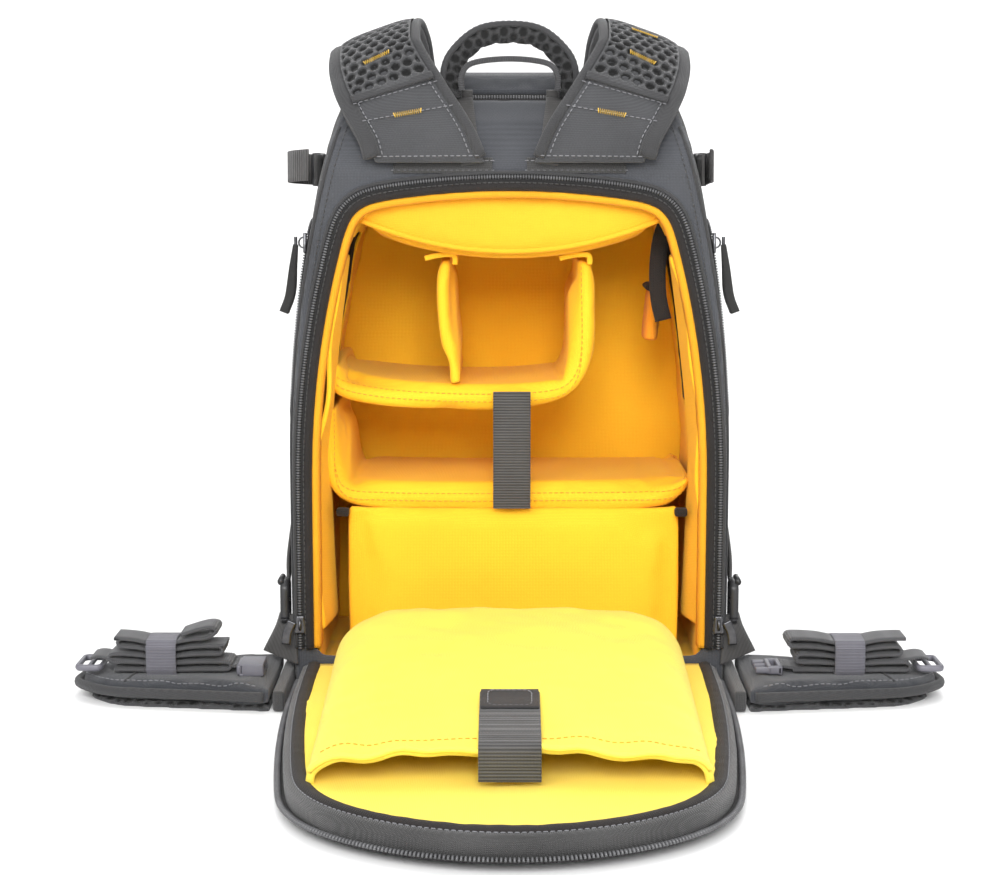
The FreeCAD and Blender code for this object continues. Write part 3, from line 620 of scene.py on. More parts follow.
def inflate():
    """Swells all listed pads together, caps how far each point moves and leaves no modifier behind."""
    scene = bpy.context.scene
    starts = {}
    for piece, _, pressure, held in pads:
        starts[piece.name] = vertex_array(piece.data)
        cloth = modify(piece, "CLOTH")
        cloth.settings.use_pressure = True
        cloth.settings.uniform_pressure_force = pressure
        cloth.settings.effector_weights.gravity = 0
        cloth.settings.quality = 4
        if held:
            group = piece.vertex_groups.new(name="held")
            for index, point in enumerate(starts[piece.name]):
                if held(Vector(point)):
                    group.add([index], 1.0, "REPLACE")
            cloth.settings.vertex_group_mass = "held"
    for step in range(1, FRAMES + 1):
        scene.frame_set(step)
    graph = bpy.context.evaluated_depsgraph_get()
    shapes = {piece.name: vertex_array(piece.evaluated_get(graph).data) for piece, *_ in pads}
    for piece, cap, *_ in pads:
        push = shapes[piece.name] - starts[piece.name]
        length = np.linalg.norm(push, axis=1, keepdims=True)
        push *= np.minimum(1.0, cap / np.maximum(length, 1e-9))
        piece.modifiers.clear()
        piece.vertex_groups.clear()
        piece.data.vertices.foreach_set("co", (starts[piece.name] + push).ravel())
        piece.data.update()
    scene.frame_set(1)
    for piece, *_ in pads:
        modify(piece, "SMOOTH", iterations=2)
        modify(piece, "SUBSURF", levels=1)
        bake(piece)


# ---------------------------------------------------------------- outlines taken from the frame

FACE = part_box("main_zip_body_side")[1].y          # plane of the zipped opening
ARCH_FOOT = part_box("main_zip_body_side")[0].z
ARCH = arch_line("main_zip_body_side", 0, 2, ARCH_FOOT, 0.006, 1)
PANEL_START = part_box("panel_rim")[1].y
PANEL = arch_line("panel_rim", 0, 1, PANEL_START, 0.006, -1)[::-1]
RIM_LOW, RIM_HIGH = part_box("panel_rim")[0].z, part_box("panel_rim")[1].z
PANEL_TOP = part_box("panel_lining")[1].z


def on_arch(distance, y):
    """The opening's outline, moved inwards, at a depth."""
    return [Vector((point.x, y, point.y)) for point in inset(ARCH, distance)]


def on_panel(distance, z):
    """The harness panel's outline, moved inwards, at a height."""
    return [Vector((point.x, point.y, z)) for point in inset(PANEL, distance)]


# ---------------------------------------------------------------- shell, cover and doors

def wrinkle(point, amount=0.0016, scale=16.0, seed=3.0):
    """Slow folds of padded cloth with some finer creases."""
    return wobble(point, amount, scale, seed) + wobble(point, amount * 0.3, scale * 4, seed + 5)


def paint_sides(piece, material, reach=0.72):
    """Gives faces that look sideways the side fabric."""
    piece.data.materials.append(material)
    for polygon in piece.data.polygons:
        if abs(polygon.normal.x) > reach:
            polygon.material_index = 1


def make_shell():
    """Padded fabric of the bag's body, top cover, side doors and outer pocket."""

    def stays(point):
        return point.y < FACE + 0.012 or point.z < 0.02
    padded_cover("shell_fabric", ["shell"], GREY, "root", 0.0038, 5, 0.0,
                 (0.003, 1.2, stays))
    padded_cover("top_cover_fabric", ["top_cover"], GREY, "top_cover", 0.0036, 5, 0.0,
                 (0.003, 1.5))
    for side, _ in SIDES:
        door = f"side_door_{side}"
        padded_cover(f"side_door_fabric_{side}", [door], SIDE_GREY, door, 0.0034, 3, 0.0,
                     (0.003, 2.0))
    padded_cover("front_pocket_fabric", ["front_pocket"], GREY, "root", 0.0045, 6, 0.001,
                 (0.007, 4.0))


def cover_zip(zips):
    """Teeth of the top cover's zip, round the front and both sides."""
    ring = hull("top_cover", 0, 1)
    start = max(range(len(ring)), key=lambda index: (ring[index][1] < 0.05) * ring[index][0])
    ring = np.roll(ring, -start, axis=0)
    if ring[1][1] > ring[0][1]:
        ring = np.r_[ring[:1], ring[:0:-1]]
    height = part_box("top_cover")[0].z - 0.0032
    line = [Vector((x, y, height)) for x, y in ring]
    line = [point for point in resample(line, 0.004) if point.y < 0.05]
    aims = [-Vector((point.x, point.y + 0.01, 0)).normalized() for point in line]
    path, normals = hug(zips, line, aims, 0.0003)
    return repeat("cover_zip_teeth", path, normals, TOOTH_PITCH, TOOTH, TEETH_PAINTED_HIGHLIGHT, "root")


def door_zip(zips, side, sign):
    """Teeth round the three zipped sides of a side door."""
    low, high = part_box(f"side_door_{side}")
    gap, corner = 0.0040, 0.018
    near, far, base, top = low.y - gap, high.y - 0.004, low.z - gap, high.z + gap
    line = [Vector((0, far, base))]
    for y, z, first in ((near + corner, base + corner, 270), (near + corner, top - corner, 180)):
        line += [Vector((0, y + corner * math.cos(math.radians(first - k * 15)),
                         z + corner * math.sin(math.radians(first - k * 15)))) for k in range(7)]
    line.append(Vector((0, far, top)))
    line = resample([Vector((sign * 0.1, point.y, point.z)) for point in line], 0.003)
    path, normals = hug(zips, line, Vector((-sign, 0, 0)), 0.0003, 0.3)
    return repeat(f"side_zip_teeth_{side}", path, normals, TOOTH_PITCH, TOOTH, TEETH_PAINTED_HIGHLIGHT, "root")


def shell_seams(shell):
    """Piped seams between yoke, sides and base, with their stitching."""
    tree = surface(shell)
    for side, sign in SIDES:
        front = [Vector((sign * x * MM, -0.14, z * MM)) for x, z in
                 ((168, 40), (169, 120), (168.5, 200), (163, 280), (152, 350), (141, 400), (130, 440))]
        path, normals = hug(tree, curve(front, 0.003), Y, 0.0004)
        sweep(f"side_seam_{side}", path, round_profile(0.0030, 0.0026, 8), normals, EDGE, "root")
        inner = [point + Vector((-sign * 0.006, 0, 0)) for point in curve(front, 0.003)]
        path, normals = hug(tree, inner, Y, 0.0003)
        stitches(f"side_seam_stitches_{side}", path, normals, "root", DARK_THREAD)
    loop = [Vector((0.2 * math.cos(math.radians(angle)), 0.2 * math.sin(math.radians(angle)), 0.033))
            for angle in range(-30, 211, 2)]
    aims = [-Vector((point.x, point.y, 0)).normalized() for point in loop]
    path, normals = hug(tree, loop, aims, 0.0004)
    sweep("base_seam", path, round_profile(0.0034, 0.0028, 8), normals, EDGE, "root")


# ---------------------------------------------------------------- main zip and bound edge

# Sections of the edges round the opening and the panel, as (across, out) in metres.
BOUND_EDGE = [(-0.0038, -0.0005), (-0.0036, 0.0024), (-0.0022, 0.0044), (0.0000, 0.0050), (0.0020, 0.0044),
              (0.0033, 0.0024), (0.0036, -0.0006), (0.0034, -0.0030), (-0.0024, -0.0008)]
LINING_HEM = [(-0.0034, -0.0020), (-0.0034, 0.0004), (0.0000, 0.0010), (0.0026, 0.0004), (0.0036, -0.0030),
              (0.0040, -0.0120), (0.0020, -0.0120), (0.0016, -0.0036)]
PANEL_BOUND_EDGE = [(-0.0050, -0.0010), (-0.0048, 0.0016), (-0.0026, 0.0028), (0.0010, 0.0027),
                    (0.0040, 0.0012), (0.0052, -0.0022), (0.0050, -0.0070), (0.0030, -0.0070)]
PANEL_RIM = [(-0.0046, -1.02), (-0.0056, -0.5), (-0.0058, 0.3), (-0.0046, 0.8), (-0.0020, 1.0),
             (0.0020, 1.04), (0.0046, 0.88), (0.0050, 0.4), (0.0050, -1.02)]      # out in half heights


def make_opening():
    """Main zip's chain, the bound edge inside it and the lining's hem."""
    tape = sweep("zip_tape_a", on_arch(0.0050, FACE - 0.0012), flat_profile(0.0100, 0.0012), -Y, TAPE, None)
    fold = sweep("zip_tape_b", on_arch(-0.0012, FACE - 0.0008), round_profile(0.0030, 0.0030, 8), -Y, EDGE,
                 None)
    teeth = repeat("zip_teeth_a", on_arch(0.0018, FACE - 0.0018), -Y, TOOTH_PITCH, TOOTH, TEETH_PAINTED_HIGHLIGHT, None)
    chain = join("main_zip_chain", [tape, fold, teeth], "root")
    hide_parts("main_zip_body_side")

    def puffed(share, a, b):
        slow, quick = noise.noise(Vector((share * 60, 2.0, 0))), noise.noise(Vector((share * 170, 7.0, 0)))
        ripple = 1 + 0.34 * slow + 0.26 * quick
        return a, b * ripple if b > 0.001 else b
    band = sweep("bound_edge_roll", resample(on_arch(0.0090, FACE), 0.003), BOUND_EDGE, -Y, DARK, "root",
                 shape=puffed)
    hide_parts("opening_binding")
    stitches("bound_edge_stitches", on_arch(0.0062, FACE - 0.0046), -Y, "root", DARK_THREAD, 0.0042)
    sweep("lining_front_hem", resample(on_arch(0.0142, FACE), 0.003), LINING_HEM, -Y, HEM, "root",
          shape=puffed)


# ---------------------------------------------------------------- lining and padded dividers

LINING_LOW, LINING_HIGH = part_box("lining")
DOOR_ROOM = {side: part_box(f"side_door_{side}") for side, _ in SIDES}


def in_door(point, grow):
    """Whether a point of the lining lies in a side door's way through."""
    low, high = DOOR_ROOM["right"]
    return (low.y + grow < point.y < high.y - grow and low.z + grow < point.z < high.z - grow
            and abs(point.x) > 0.1)


def make_lining():
    """Padded tray: arch-shaped walls, floor and back wall, with a bound hole at each side door."""
    arch = arch_line("lining", 0, 2, LINING_LOW.z, 0.006, 1)
    floor = resample([arch[-1], arch[0]], 0.008)[1:-1]
    ring = [(point.x, point.y) for point in arch + floor]
    depth = resample([Vector((0, LINING_LOW.y, 0)), Vector((0, LINING_HIGH.y - 0.002, 0))], 0.006)
    points, faces, _ = sweep_data(depth, ring, Z, caps=False)
    middle = Z * 0.2
    shaped = []
    for point in points:
        inward = (middle - Vector((point.x, 0, point.z))).normalized()
        seam = 0.0018 * math.exp(-(point.y / 0.004) ** 2)
        shaped.append(point + inward * (0.0026 + wrinkle(point, 0.0022, 22) - seam))
    faces = [face for face in faces if not all(in_door(points[index], 0.001) for index in face)]
    walls = build("lining_walls_raw", shaped, faces, YELLOW)
    modify(walls, "SOLIDIFY", thickness=0.0026, offset=0)
    bake(walls)
    back = fill("lining_back_raw", [Vector((x, LINING_HIGH.y - 0.003, z)) for x, z in ring], 30,
                lambda place, share: place - Y * (0.002 * (1 - share) + wrinkle(place, 0.0022, 14)),
                YELLOW, None, -Y, 0.0020)
    tray = join("lining_tray", [walls, back], "root")
    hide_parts("lining")
    tree = surface(tray)
    for side, sign in SIDES:
        low, high = DOOR_ROOM[side]
        near, far, base, top = low.y + 0.003, high.y - 0.006, low.z + 0.004, high.z - 0.004
        corner = (low.y + 0.012, low.z + 0.016, high.z - 0.016)
        edge = [Vector((0, y, z)) for y, z in
                ((far, base), (corner[0], base), (near, corner[1]), (near, corner[2]), (corner[0], top),
                 (far, top), (far, base))]
        line = resample(edge, 0.003)
        path = []
        for point in line:
            hit = tree.find_nearest(Vector((sign * 0.16, point.y, point.z)))[0]
            path.append(Vector((hit.x, point.y, point.z)))
        sweep(f"side_hole_binding_{side}", path, round_profile(0.0095, 0.0050, 10),
              Vector((-sign, 0, 0)), DARK, "root")


def pad_band(name, line, thickness, depth, node, cap=0.004):
    """A padded sheet bent along a line of (x, z) millimetres, standing for a CAD pad."""
    front, back = depth
    path = curve([Vector((x, 0, z)) * MM + Y * (front + back) / 2 for x, z in line], PAD_CELL)
    outs = [run.cross(Y).normalized() for run in directions(path)]

    def blunt(share, a, b):
        end = min(share, 1 - share) * (len(path) - 1)
        return a, b * min(1.0, 0.62 + 0.38 * end)
    band = sweep(name, path, padded_profile(back - front, thickness), outs, YELLOW, "root",
                 shape=blunt)
    pad_out(band, cap, 5.0)
    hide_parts(node)


LENS_SHELF_LINE = [(-139, 262), (-139, 248), (-130, 239), (-100, 233), (-60, 230), (-15, 229), (25, 231),
                   (44, 236), (54, 249), (57, 268), (57, 300), (56, 342)]
MIDDLE_LINE = [(-45, 237), (-46, 262), (-49, 290), (-50, 318), (-48, 342)]
LOWER_WALL_HEAD, LOWER_WALL_ENDS = 0.1435, (-0.1320, 0.1390)
CAMERA_SHELF_LINE = [(-139, 226), (-139, 196), (-138, 168), (-129, 153), (-100, 150), (-40, 149), (20, 149.5),
                     (80, 150), (120, 151), (136, 155), (145, 166)]


def make_dividers():
    """Shelves, dividers, the lower bay's front wall, and what is fastened to them."""
    low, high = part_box("camera_shelf")
    front, back = low.y, high.y
    pad_band("lens_shelf_pad", LENS_SHELF_LINE, 0.0135, (front, back), "lens_shelf")
    pad_band("lens_divider_pad", MIDDLE_LINE, 0.0095, (front + 0.001, back), "lens_dividers", 0.003)
    pad_band("camera_shelf_pad", CAMERA_SHELF_LINE, 0.0140, (front, back), "camera_shelf", 0.005)
    foot, head = low.z, LOWER_WALL_HEAD
    middle = (foot + head) / 2
    ends = [Vector((x, front + 0.0075, middle)) for x in LOWER_WALL_ENDS]
    wall = sweep("lower_front_wall", resample(ends, PAD_CELL), padded_profile(head - foot, 0.0085), -Y,
                 YELLOW, "root")
    pad_out(wall, 0.003, 4.0)
    # The ceiling pad wears the lining yellow with painted shade.
    padded_cover("ceiling_pad_cover", ["ceiling_pad"], SHADED_CEILING_YELLOW, "root", 0.0042, 4, 0.001,
                 (0.005, 4.0))
    make_ceiling_front()
    make_card_pocket()
    make_wings()
    make_fasteners(front)
    strap_low, strap_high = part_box("lens_strap")
    middle = (strap_low.x + strap_high.x) / 2
    line = [Vector((middle, front - 0.0050, z)) for z in
            (strap_high.z + 0.012, strap_high.z - 0.02, 0.19, strap_low.z + 0.02, strap_low.z - 0.001)]
    line[0].y += 0.003
    line[-1].y += 0.002
    strap = webbing("lens_strap_webbing", curve(line, 0.0008), 0.0295, 0.0020, -Y, "root", pitch=0.0016)
    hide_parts("lens_strap")


def make_card_pocket():
    """Small orange pocket with an elastic mouth, and the black edge of the side way-in before it."""
    low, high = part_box("card_pocket")
    y = (low.y + high.y) / 2
    rise = resample([Vector((low.x, y, low.z)), Vector((low.x - 0.001, y, high.z))], 0.004)
    pocket = sweep("card_pocket_cover", rise, padded_profile(high.y - low.y, 0.0110), X, ORANGE, "root")
    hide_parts("card_pocket")
    pad_out(pocket, 0.003, 4.0)
    mouth = resample([Vector((low.x - 0.001, y + reach, high.z)) for reach in (-0.0195, 0.0195)], 0.004)
    sweep("card_pocket_elastic", mouth, round_profile(0.0120, 0.0060, 12), Z, DARK, "root")
    edge = [Vector((x, -52, z)) * MM for x, z in
            ((124, 368), (119, 352), (117, 330), (118, 308), (122, 290))]
    sweep("way_in_edge", curve(edge, 0.003), flat_profile(0.0130, 0.0060, 0.0010), -Y, DARK, "root")


CEILING_FOOT, CEILING_SAG = 0.3725, 0.0265       # where the pad's lower edge starts and how far it sags


def make_ceiling_front():
    """Puffy front of the pad under the top compartment, from the opening's crown to a sagging edge."""
    arch = [point for point in on_arch(0.0095, 0.0) if point.z > CEILING_FOOT]
    reach = abs(arch[0].x)
    sag = []
    for k in range(1, 40):
        share = 1 - k / 20
        sag.append(Vector((reach * share, 0, CEILING_FOOT - CEILING_SAG * (1 - share * share))))
    if arch[-1].x < 0:
        sag.reverse()
    outline = resample([*arch, *sag, arch[0]], 0.005)[:-1]
    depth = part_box("ceiling_pad")[0].y

    def puffed(place, share):
        swell = 0.0075 * (1 - share ** 4) ** 0.5
        return Vector((place.x, depth - 0.0005 - swell - wrinkle(place, 0.0016, 26, 8), place.z))
    # Front panel and piping wear the lining yellow with painted shade.
    panel = fill("ceiling_front_panel", outline, 26, puffed, SHADED_CEILING_YELLOW, "root", -Y, 0.0040)
    lower = [puffed(point * 0.995 + Z * 0.0022, 0.97) for point in sag]
    sweep("ceiling_front_piping", resample(lower, 0.003), round_profile(0.0046, 0.0040, 8), -Y, SHADED_CEILING_YELLOW,
          "root")


FLAP_GRID = (44, 18)
FLAP_DEPTH, FLAP_REACH = 0.052, 0.1500            # front to back at the foot, and from the middle
FLAP_EXTRA = 0.150                                # how much taller than its CAD strip a flap is


def make_wings():
    """Loose padded flaps of the lining beside the divider insert."""
    low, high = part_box("lining_wings")
    pieces = []
    for side, sign in SIDES:
        points = []
        rows, columns = FLAP_GRID
        for row in range(rows + 1):
            v = row / rows
            z = low.z - 0.012 + v * (high.z - low.z + FLAP_EXTRA)
            for column in range(columns + 1):
                u = column / columns
                deep = FLAP_DEPTH * (1 - 0.25 * v)
                wave = 0.0030 * math.sin(v * 9 + sign) + 0.0022 * math.sin(v * 21 + 2 * sign)
                lean = 0.022 * max(0.0, v - 0.45) ** 1.2 * 2.2
                x = FLAP_REACH - lean - 0.010 * u * (1 - v) + wave * (1 - u) * 0.8
                points.append(Vector((sign * x, low.y - 0.006 + u * deep, z)))
        flap = build(f"lining_flap_raw_{side}", points, grid_faces(rows, columns), YELLOW)
        modify(flap, "SOLIDIFY", thickness=0.0040, offset=0)
        modify(flap, "SUBSURF", levels=1)
        pieces.append(bake(flap))
    flaps = join("lining_flaps", pieces, "root")
    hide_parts("lining_wings")


TAB_LAP = [(5.5, -7), (5.5, -1.5), (3, 0.6), (-5, 0.4), (-12, -0.8), (-18, -2.4)]  # (x, z) from a tab's top


def make_fasteners(front):
    """Hook-and-loop tabs folded over the divider tops and toggles under the camera shelf."""
    coords = coordinates("divider_fasteners")
    tabs, toggles = coords[coords[:, 2] > 0.25], coords[coords[:, 2] < 0.2]
    pieces = []
    for sign in (-1, 1):
        part = tabs[tabs[:, 0] * sign > 0]
        low, high = part.min(0), part.max(0)
        middle, top = (low[0] + high[0]) / 2, high[2] - 0.0030
        lap = curve([Vector((middle + x * MM, front + 0.0075, top + z * MM)) for x, z in TAB_LAP], 0.0015)
        outs = [(point - Vector((middle - 0.002, point.y, top - 0.02))).normalized() for point in lap]
        pieces.append(sweep(f"tab_raw_{sign}", lap, flat_profile(0.0230, 0.0040), outs, YELLOW, None))
    for sign in (-1, 1):
        part = toggles[toggles[:, 0] * sign > 0]
        pieces.append(block(f"toggle_raw_{sign}", part.min(0), part.max(0), 0.0018, DARK))
    fasteners = join("divider_fastener_set", pieces, "root")
    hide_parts("divider_fasteners")


def divider_seams():
    """Sewn lines near the dividers' front edges, laid on once the pads have their final shape."""
    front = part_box("camera_shelf")[0].y
    for name, line in (("camera_shelf", CAMERA_SHELF_LINE), ("lens_shelf", LENS_SHELF_LINE)):
        tree = surface(bpy.data.objects[f"{name}_pad"])
        edge = [point - Y * 0.2 for point in curve([Vector((x, 0, z)) * MM for x, z in line], 0.003)]
        for lift in (-0.0030, 0.0030):
            path, normals = hug(tree, [point + Z * lift + Y * front for point in edge], Y, 0.0002, 0.52)
            stitches(f"{name}_stitches_{'upper' if lift > 0 else 'lower'}", path, normals, "root",
                     LINING_THREAD)


# ---------------------------------------------------------------- harness panel

def make_panel():
    """Harness panel: rolled rim with its zip, bound edge, lining sheet, foam board and back pads."""
    middle, tall = (RIM_LOW + RIM_HIGH) / 2, (RIM_HIGH - RIM_LOW) / 2

    def puffed(share, a, b):
        ripple = 1 + 0.05 * noise.noise(Vector((share * 30, 4.0, 1.0)))
        return a * ripple, b * ripple * tall
    rim = sweep("panel_rim_roll", on_panel(0.0045, middle), PANEL_RIM, Z, CHARCOAL, "harness_panel",
                shape=puffed)
    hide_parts("panel_rim")

    def rippled(share, a, b):
        ripple = 1 + 0.22 * noise.noise(Vector((share * 80, 9.0, 1.0)))
        return a, b * ripple if b > 0 else b
    sweep("panel_bound_edge", resample(on_panel(0.0092, RIM_HIGH + 0.0002), 0.003), PANEL_BOUND_EDGE, Z, DARK,
          "harness_panel", shape=rippled)
    stitches("panel_edge_stitches", on_panel(0.0040, RIM_HIGH + 0.0004), Z, "harness_panel", THREAD, 0.0042)
    tape = sweep("panel_tape_raw", on_panel(-0.0016, RIM_LOW + 0.0006), flat_profile(0.0080, 0.0012), Z,
                 TAPE, None)
    teeth = repeat("panel_teeth_raw", on_panel(-0.0050, RIM_LOW + 0.0014), Z, 0.0026, PANEL_TOOTH, TEETH_PAINTED_HIGHLIGHT,
                   None)
    chain = join("panel_zip_chain", [tape, teeth], "harness_panel")
    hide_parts("main_zip_panel_side")


    def sheet(place, share):
        return Vector((place.x, place.y, PANEL_TOP + wobble(place, 0.0016, 18, 2) + 0.0025 * share ** 12))
    floor = fill("panel_lining_sheet", on_panel(0.0095, 0.0), 34, sheet, PALE, "harness_panel",
                 Z, 0.0030)
    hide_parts("panel_lining")
    board = soft_copy("panel_foam_board", ["panel_board"], FOAM, "harness_panel", 0.0045, 3,
                      0.0006)
    covers = soft_copy("back_pad_covers", ["back_pads"], AIR_MESH, "harness_panel", 0.0036, 5,
                       0.0015)
    mark_holes(covers, 2)


SLEEVE_LOW, SLEEVE_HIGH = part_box("laptop_sleeve")
MOUTH_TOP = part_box("laptop_strap_tab")[1].z - 0.001
SLEEVE_CORNER, SLEEVE_EDGE = 0.040, 0.022         # plan radius of its far corners, rounding of its far edge


def sleeve_point(u, v):
    """The laptop sleeve's outer face: u across from -1 to 1, v from the fold end to the mouth."""
    length = SLEEVE_HIGH.y - SLEEVE_LOW.y
    far = v * length
    half = SLEEVE_HIGH.x * (1 - 0.030 * v)
    if far < SLEEVE_CORNER:
        half -= SLEEVE_CORNER * (1 - math.sqrt(1 - (1 - far / SLEEVE_CORNER) ** 2)) * 0.9
    edge = max(0.0, 1 - abs(u) ** 7) ** (1 / 2.6)
    top = SLEEVE_HIGH.z - (SLEEVE_HIGH.z - MOUTH_TOP) * max(0.0, (v - 0.14) / 0.86) ** 1.05 - 0.001
    rise = 1.0 if far > SLEEVE_EDGE else math.sqrt(max(0.0, 1 - (1 - far / SLEEVE_EDGE) ** 2))
    low = PANEL_TOP + 0.0006
    place = Vector((u * half, SLEEVE_HIGH.y - far, 0))
    puff = 0.0030 * math.sin(math.pi * v) * (1 - u * u)
    dents = wobble(place, 0.0024, 22, 6) + wobble(place, 0.0014, 60, 9)
    mouth = max(0.0, (v - 0.86) / 0.14)
    sag = -0.0012 * mouth * (1 + math.cos(u * 9.5)) * 0.5 + 0.0010 * mouth * math.sin(u * 21)
    place.z = low + (top - low + puff + dents + sag) * edge * rise
    place.y += 0.004 * mouth * math.cos(u * 4.0) * edge
    return place


def make_sleeve():
    """Pale padded sleeve sewn to the panel on three sides, open at its mouth."""
    across = [math.sin(math.pi / 2 * (k / 32 - 1)) if k < 64 else 1.0 for k in range(65)]
    along = [k / 72 for k in range(73)]
    points = [sleeve_point(u, v) for v in along for u in across]
    sleeve = build("laptop_sleeve_cover", points, grid_faces(len(along) - 1, len(across) - 1), PALE)
    modify(sleeve, "SOLIDIFY", thickness=0.0052, offset=1.0, use_even_offset=False)
    bake(sleeve)
    settle(sleeve, "harness_panel")
    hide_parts("laptop_sleeve")
    hem = [sleeve_point(u, 1.0) + Vector((0, -0.0004, -0.0006)) for u in across[4:-4]]
    sweep("sleeve_mouth_piping", hem, round_profile(0.0042, 0.0042, 8), Z, PALE, "harness_panel")
    line = [sleeve_point(u, 0.955) + Z * 0.0002 for u in across[8:-8]]
    stitches("sleeve_mouth_stitches", line, Z, "harness_panel", LINING_THREAD)
    make_laptop_strap()


def make_laptop_strap():
    """Ribbed strap over the sleeve's mouth, its stitched box, its loose end and a blank label."""
    low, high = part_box("laptop_strap")
    middle, half = (low.x + high.x) / 2, (high.x - low.x) / 2
    share = (SLEEVE_HIGH.y - high.y) / (SLEEVE_HIGH.y - SLEEVE_LOW.y)
    line = [sleeve_point(0.0, share + (1 - share) * k / 24) for k in range(25)]
    line = [Vector((middle, point.y, point.z + 0.0036)) for point in line]
    strap = webbing("laptop_strap_webbing", line, half * 2, 0.0022, Z, "harness_panel", pitch=0.0017)
    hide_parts("laptop_strap")
    label_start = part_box("strap_label")[0].y - 0.002
    top = [point + Z * 0.0020 for point in line if label_start < point.y]
    patch = sweep("blank_label_patch", resample(top, 0.003), flat_profile(half * 2 - 0.0015, 0.0010), Z,
                  LABEL, "harness_panel")
    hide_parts("strap_label")
    near, far = top[0] + Vector((0, -0.0040, 0.0008)), top[-1] + Vector((0, 0.0040, 0.0008))
    reach = half - 0.0055
    ring = [near - X * (reach - 0.003), near + X * (reach - 0.003), near + X * reach + (far - near) * 0.14,
            far + X * reach - (far - near) * 0.14, far + X * (reach - 0.003), far - X * (reach - 0.003),
            far - X * reach - (far - near) * 0.14, near - X * reach + (far - near) * 0.14,
            near - X * (reach - 0.003)]
    stitches("label_stitches", resample(ring, 0.002), Z, "harness_panel", THREAD, 0.0036)
    tab_low, tab_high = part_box("laptop_strap_tab")
    y = (tab_low.y + tab_high.y) / 2
    end = line[-1]
    drop = [Vector((middle, along, height)) for along, height in
            ((end.y - 0.001, end.z + 0.0006), (y + 0.0008, end.z - 0.002), (y, tab_high.z - 0.010),
             (y + 0.0004, 0.036), (y, tab_low.z))]
    outs = [Z, (Z - Y).normalized(), -Y, -Y, -Y]
    tab = webbing("laptop_tab_webbing", curve(drop), half * 2, 0.0022, outs, "laptop_strap_tab", pitch=0.0017)
    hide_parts("laptop_strap_tab")


# ---------------------------------------------------------------- air mesh

def mark_holes(piece, normal_axis):
    """Marks staggered round holes on a mesh's faces across one axis and sinks them."""
    modify(piece, "SUBSURF", levels=1)
    mesh = bake(piece).data
    values = []
    flat = [axis for axis in range(3) if axis != normal_axis]
    for vertex, normal in [(vertex, vertex.normal.copy()) for vertex in mesh.vertices]:
        facing = abs(normal[normal_axis])
        hole = hole_depth(vertex.co[flat[0]], vertex.co[flat[1]]) * (facing > 0.7)
        vertex.co -= normal * hole * 0.0012
        values.append(hole)
    mark(mesh, "hole", "FLOAT", "value", values)


HOLE_ACROSS, HOLE_ALONG, HOLE_RADIUS = 0.0094, 0.0074, 0.0031


def hole_depth(across, along):
    """1 inside a hole of the staggered pattern and 0 on the knit between holes."""
    row = round(along / HOLE_ALONG)
    shift = HOLE_ACROSS / 2 if row % 2 else 0.0
    column = round((across - shift) / HOLE_ACROSS)
    dx = (across - shift - column * HOLE_ACROSS) / 1.18
    dy = along - row * HOLE_ALONG
    away = math.hypot(dx, dy) / HOLE_RADIUS
    return min(1.0, max(0.0, (1.12 - away) / 0.30))


def mesh_sheet(name, frames, width, crown, material, body, lift, depth, step=0.0011):
    """A crowned strip of large-hole air mesh laid along frames, with real hollows for its holes."""
    columns = round(width / step)
    points, holes, st = [], [], []
    along = 0.0
    for row, (point, across, up, _) in enumerate(frames):
        along += (point - frames[row - 1][0]).length if row else 0.0
        for column in range(columns + 1):
            a = (column / columns - 0.5) * width
            share = abs(2 * a / width)
            hole = hole_depth(a, along) * (share < 0.93) * (0.004 < along)
            b = lift + crown * (1 - share ** 4) - hole * depth
            points.append(point + across * a + up * b)
            holes.append(hole)
            st.append((a, along, 0.0))
    return build(name, points, grid_faces(len(frames) - 1, columns), material, body, st, holes)


def bartack(name, centre, along, up, body, length=0.021):
    """A dense bar of yellow zigzag thread over a strap."""
    across = along.cross(up).normalized()
    points = []
    for turn in range(27):
        swing = 0.0019 if turn % 2 else -0.0019
        points.append(centre + along * length * (turn / 26 - 0.5) + across * swing)
    return sweep(name, points, round_profile(0.0010, 0.0009, 6), up, YELLOW_THREAD, body)


# ---------------------------------------------------------------- handles and shoulder straps

STRAP_CENTRES = [  # right shoulder strap, millimetres: yoke, over the top, down the outer face
    (55, -118, 414), (64, -112.5, 434), (83, -98, 462), (99, -78, 488), (102, -48, 506), (101, -10, 511),
    (100, 40, 508), (98, 90, 496), (96, 124, 464), (94, 141, 410), (92, 146, 350), (92, 146, 290),
    (92, 144, 235),
]
WEBBING_CENTRES = [  # right lower webbing, millimetres: ladder lock, up the side and round to the strap
    (176, -78, 76), (178, -50, 92), (178, 20, 130), (176, 70, 160), (160, 112, 186), (134, 132, 202),
    (108, 138, 214),
]


def strap_line(sign):
    """Centre line of a shoulder strap and its outward directions, rolled so its outer edge hangs."""
    line = curve(in_metres(STRAP_CENTRES, sign), 0.0012)
    outs = []
    last = len(line) - 1
    for index, (point, run) in enumerate(zip(line, directions(line))):
        up = X.cross(run).normalized()
        roll = 0.34 * min(1.0, max(0.0, (point.z - 0.43) / 0.06)) * (1 if index < last * 0.55 else 0.4)
        up = (up * math.cos(roll) + X * sign * math.sin(roll)).normalized()
        outs.append(up)
    return line, outs


def strap_frames(sign):
    """Sections along a shoulder strap: square to it on its way over the bag, level at its sewn end."""
    line, outs = strap_line(sign)
    last = len(line) - 1
    frames = []
    for index, (point, across, up, run) in enumerate(sections(line, outs)):
        level = max(0.0, 1 - index / (last * 0.17))
        flat = X if across.x > 0 else -X
        wide = 1.0 + 0.27 * max(0.0, 1 - index / (last * 0.19)) ** 1.3
        across = across.lerp(flat, level ** 0.7).normalized() * wide
        frames.append((point + X * sign * 0.005 * level, across, up, run))
    return frames


MESH_START = 0.466        # height at which a strap's air mesh begins
MESH_SHARE = 0.78         # share of the strap's length at which it ends


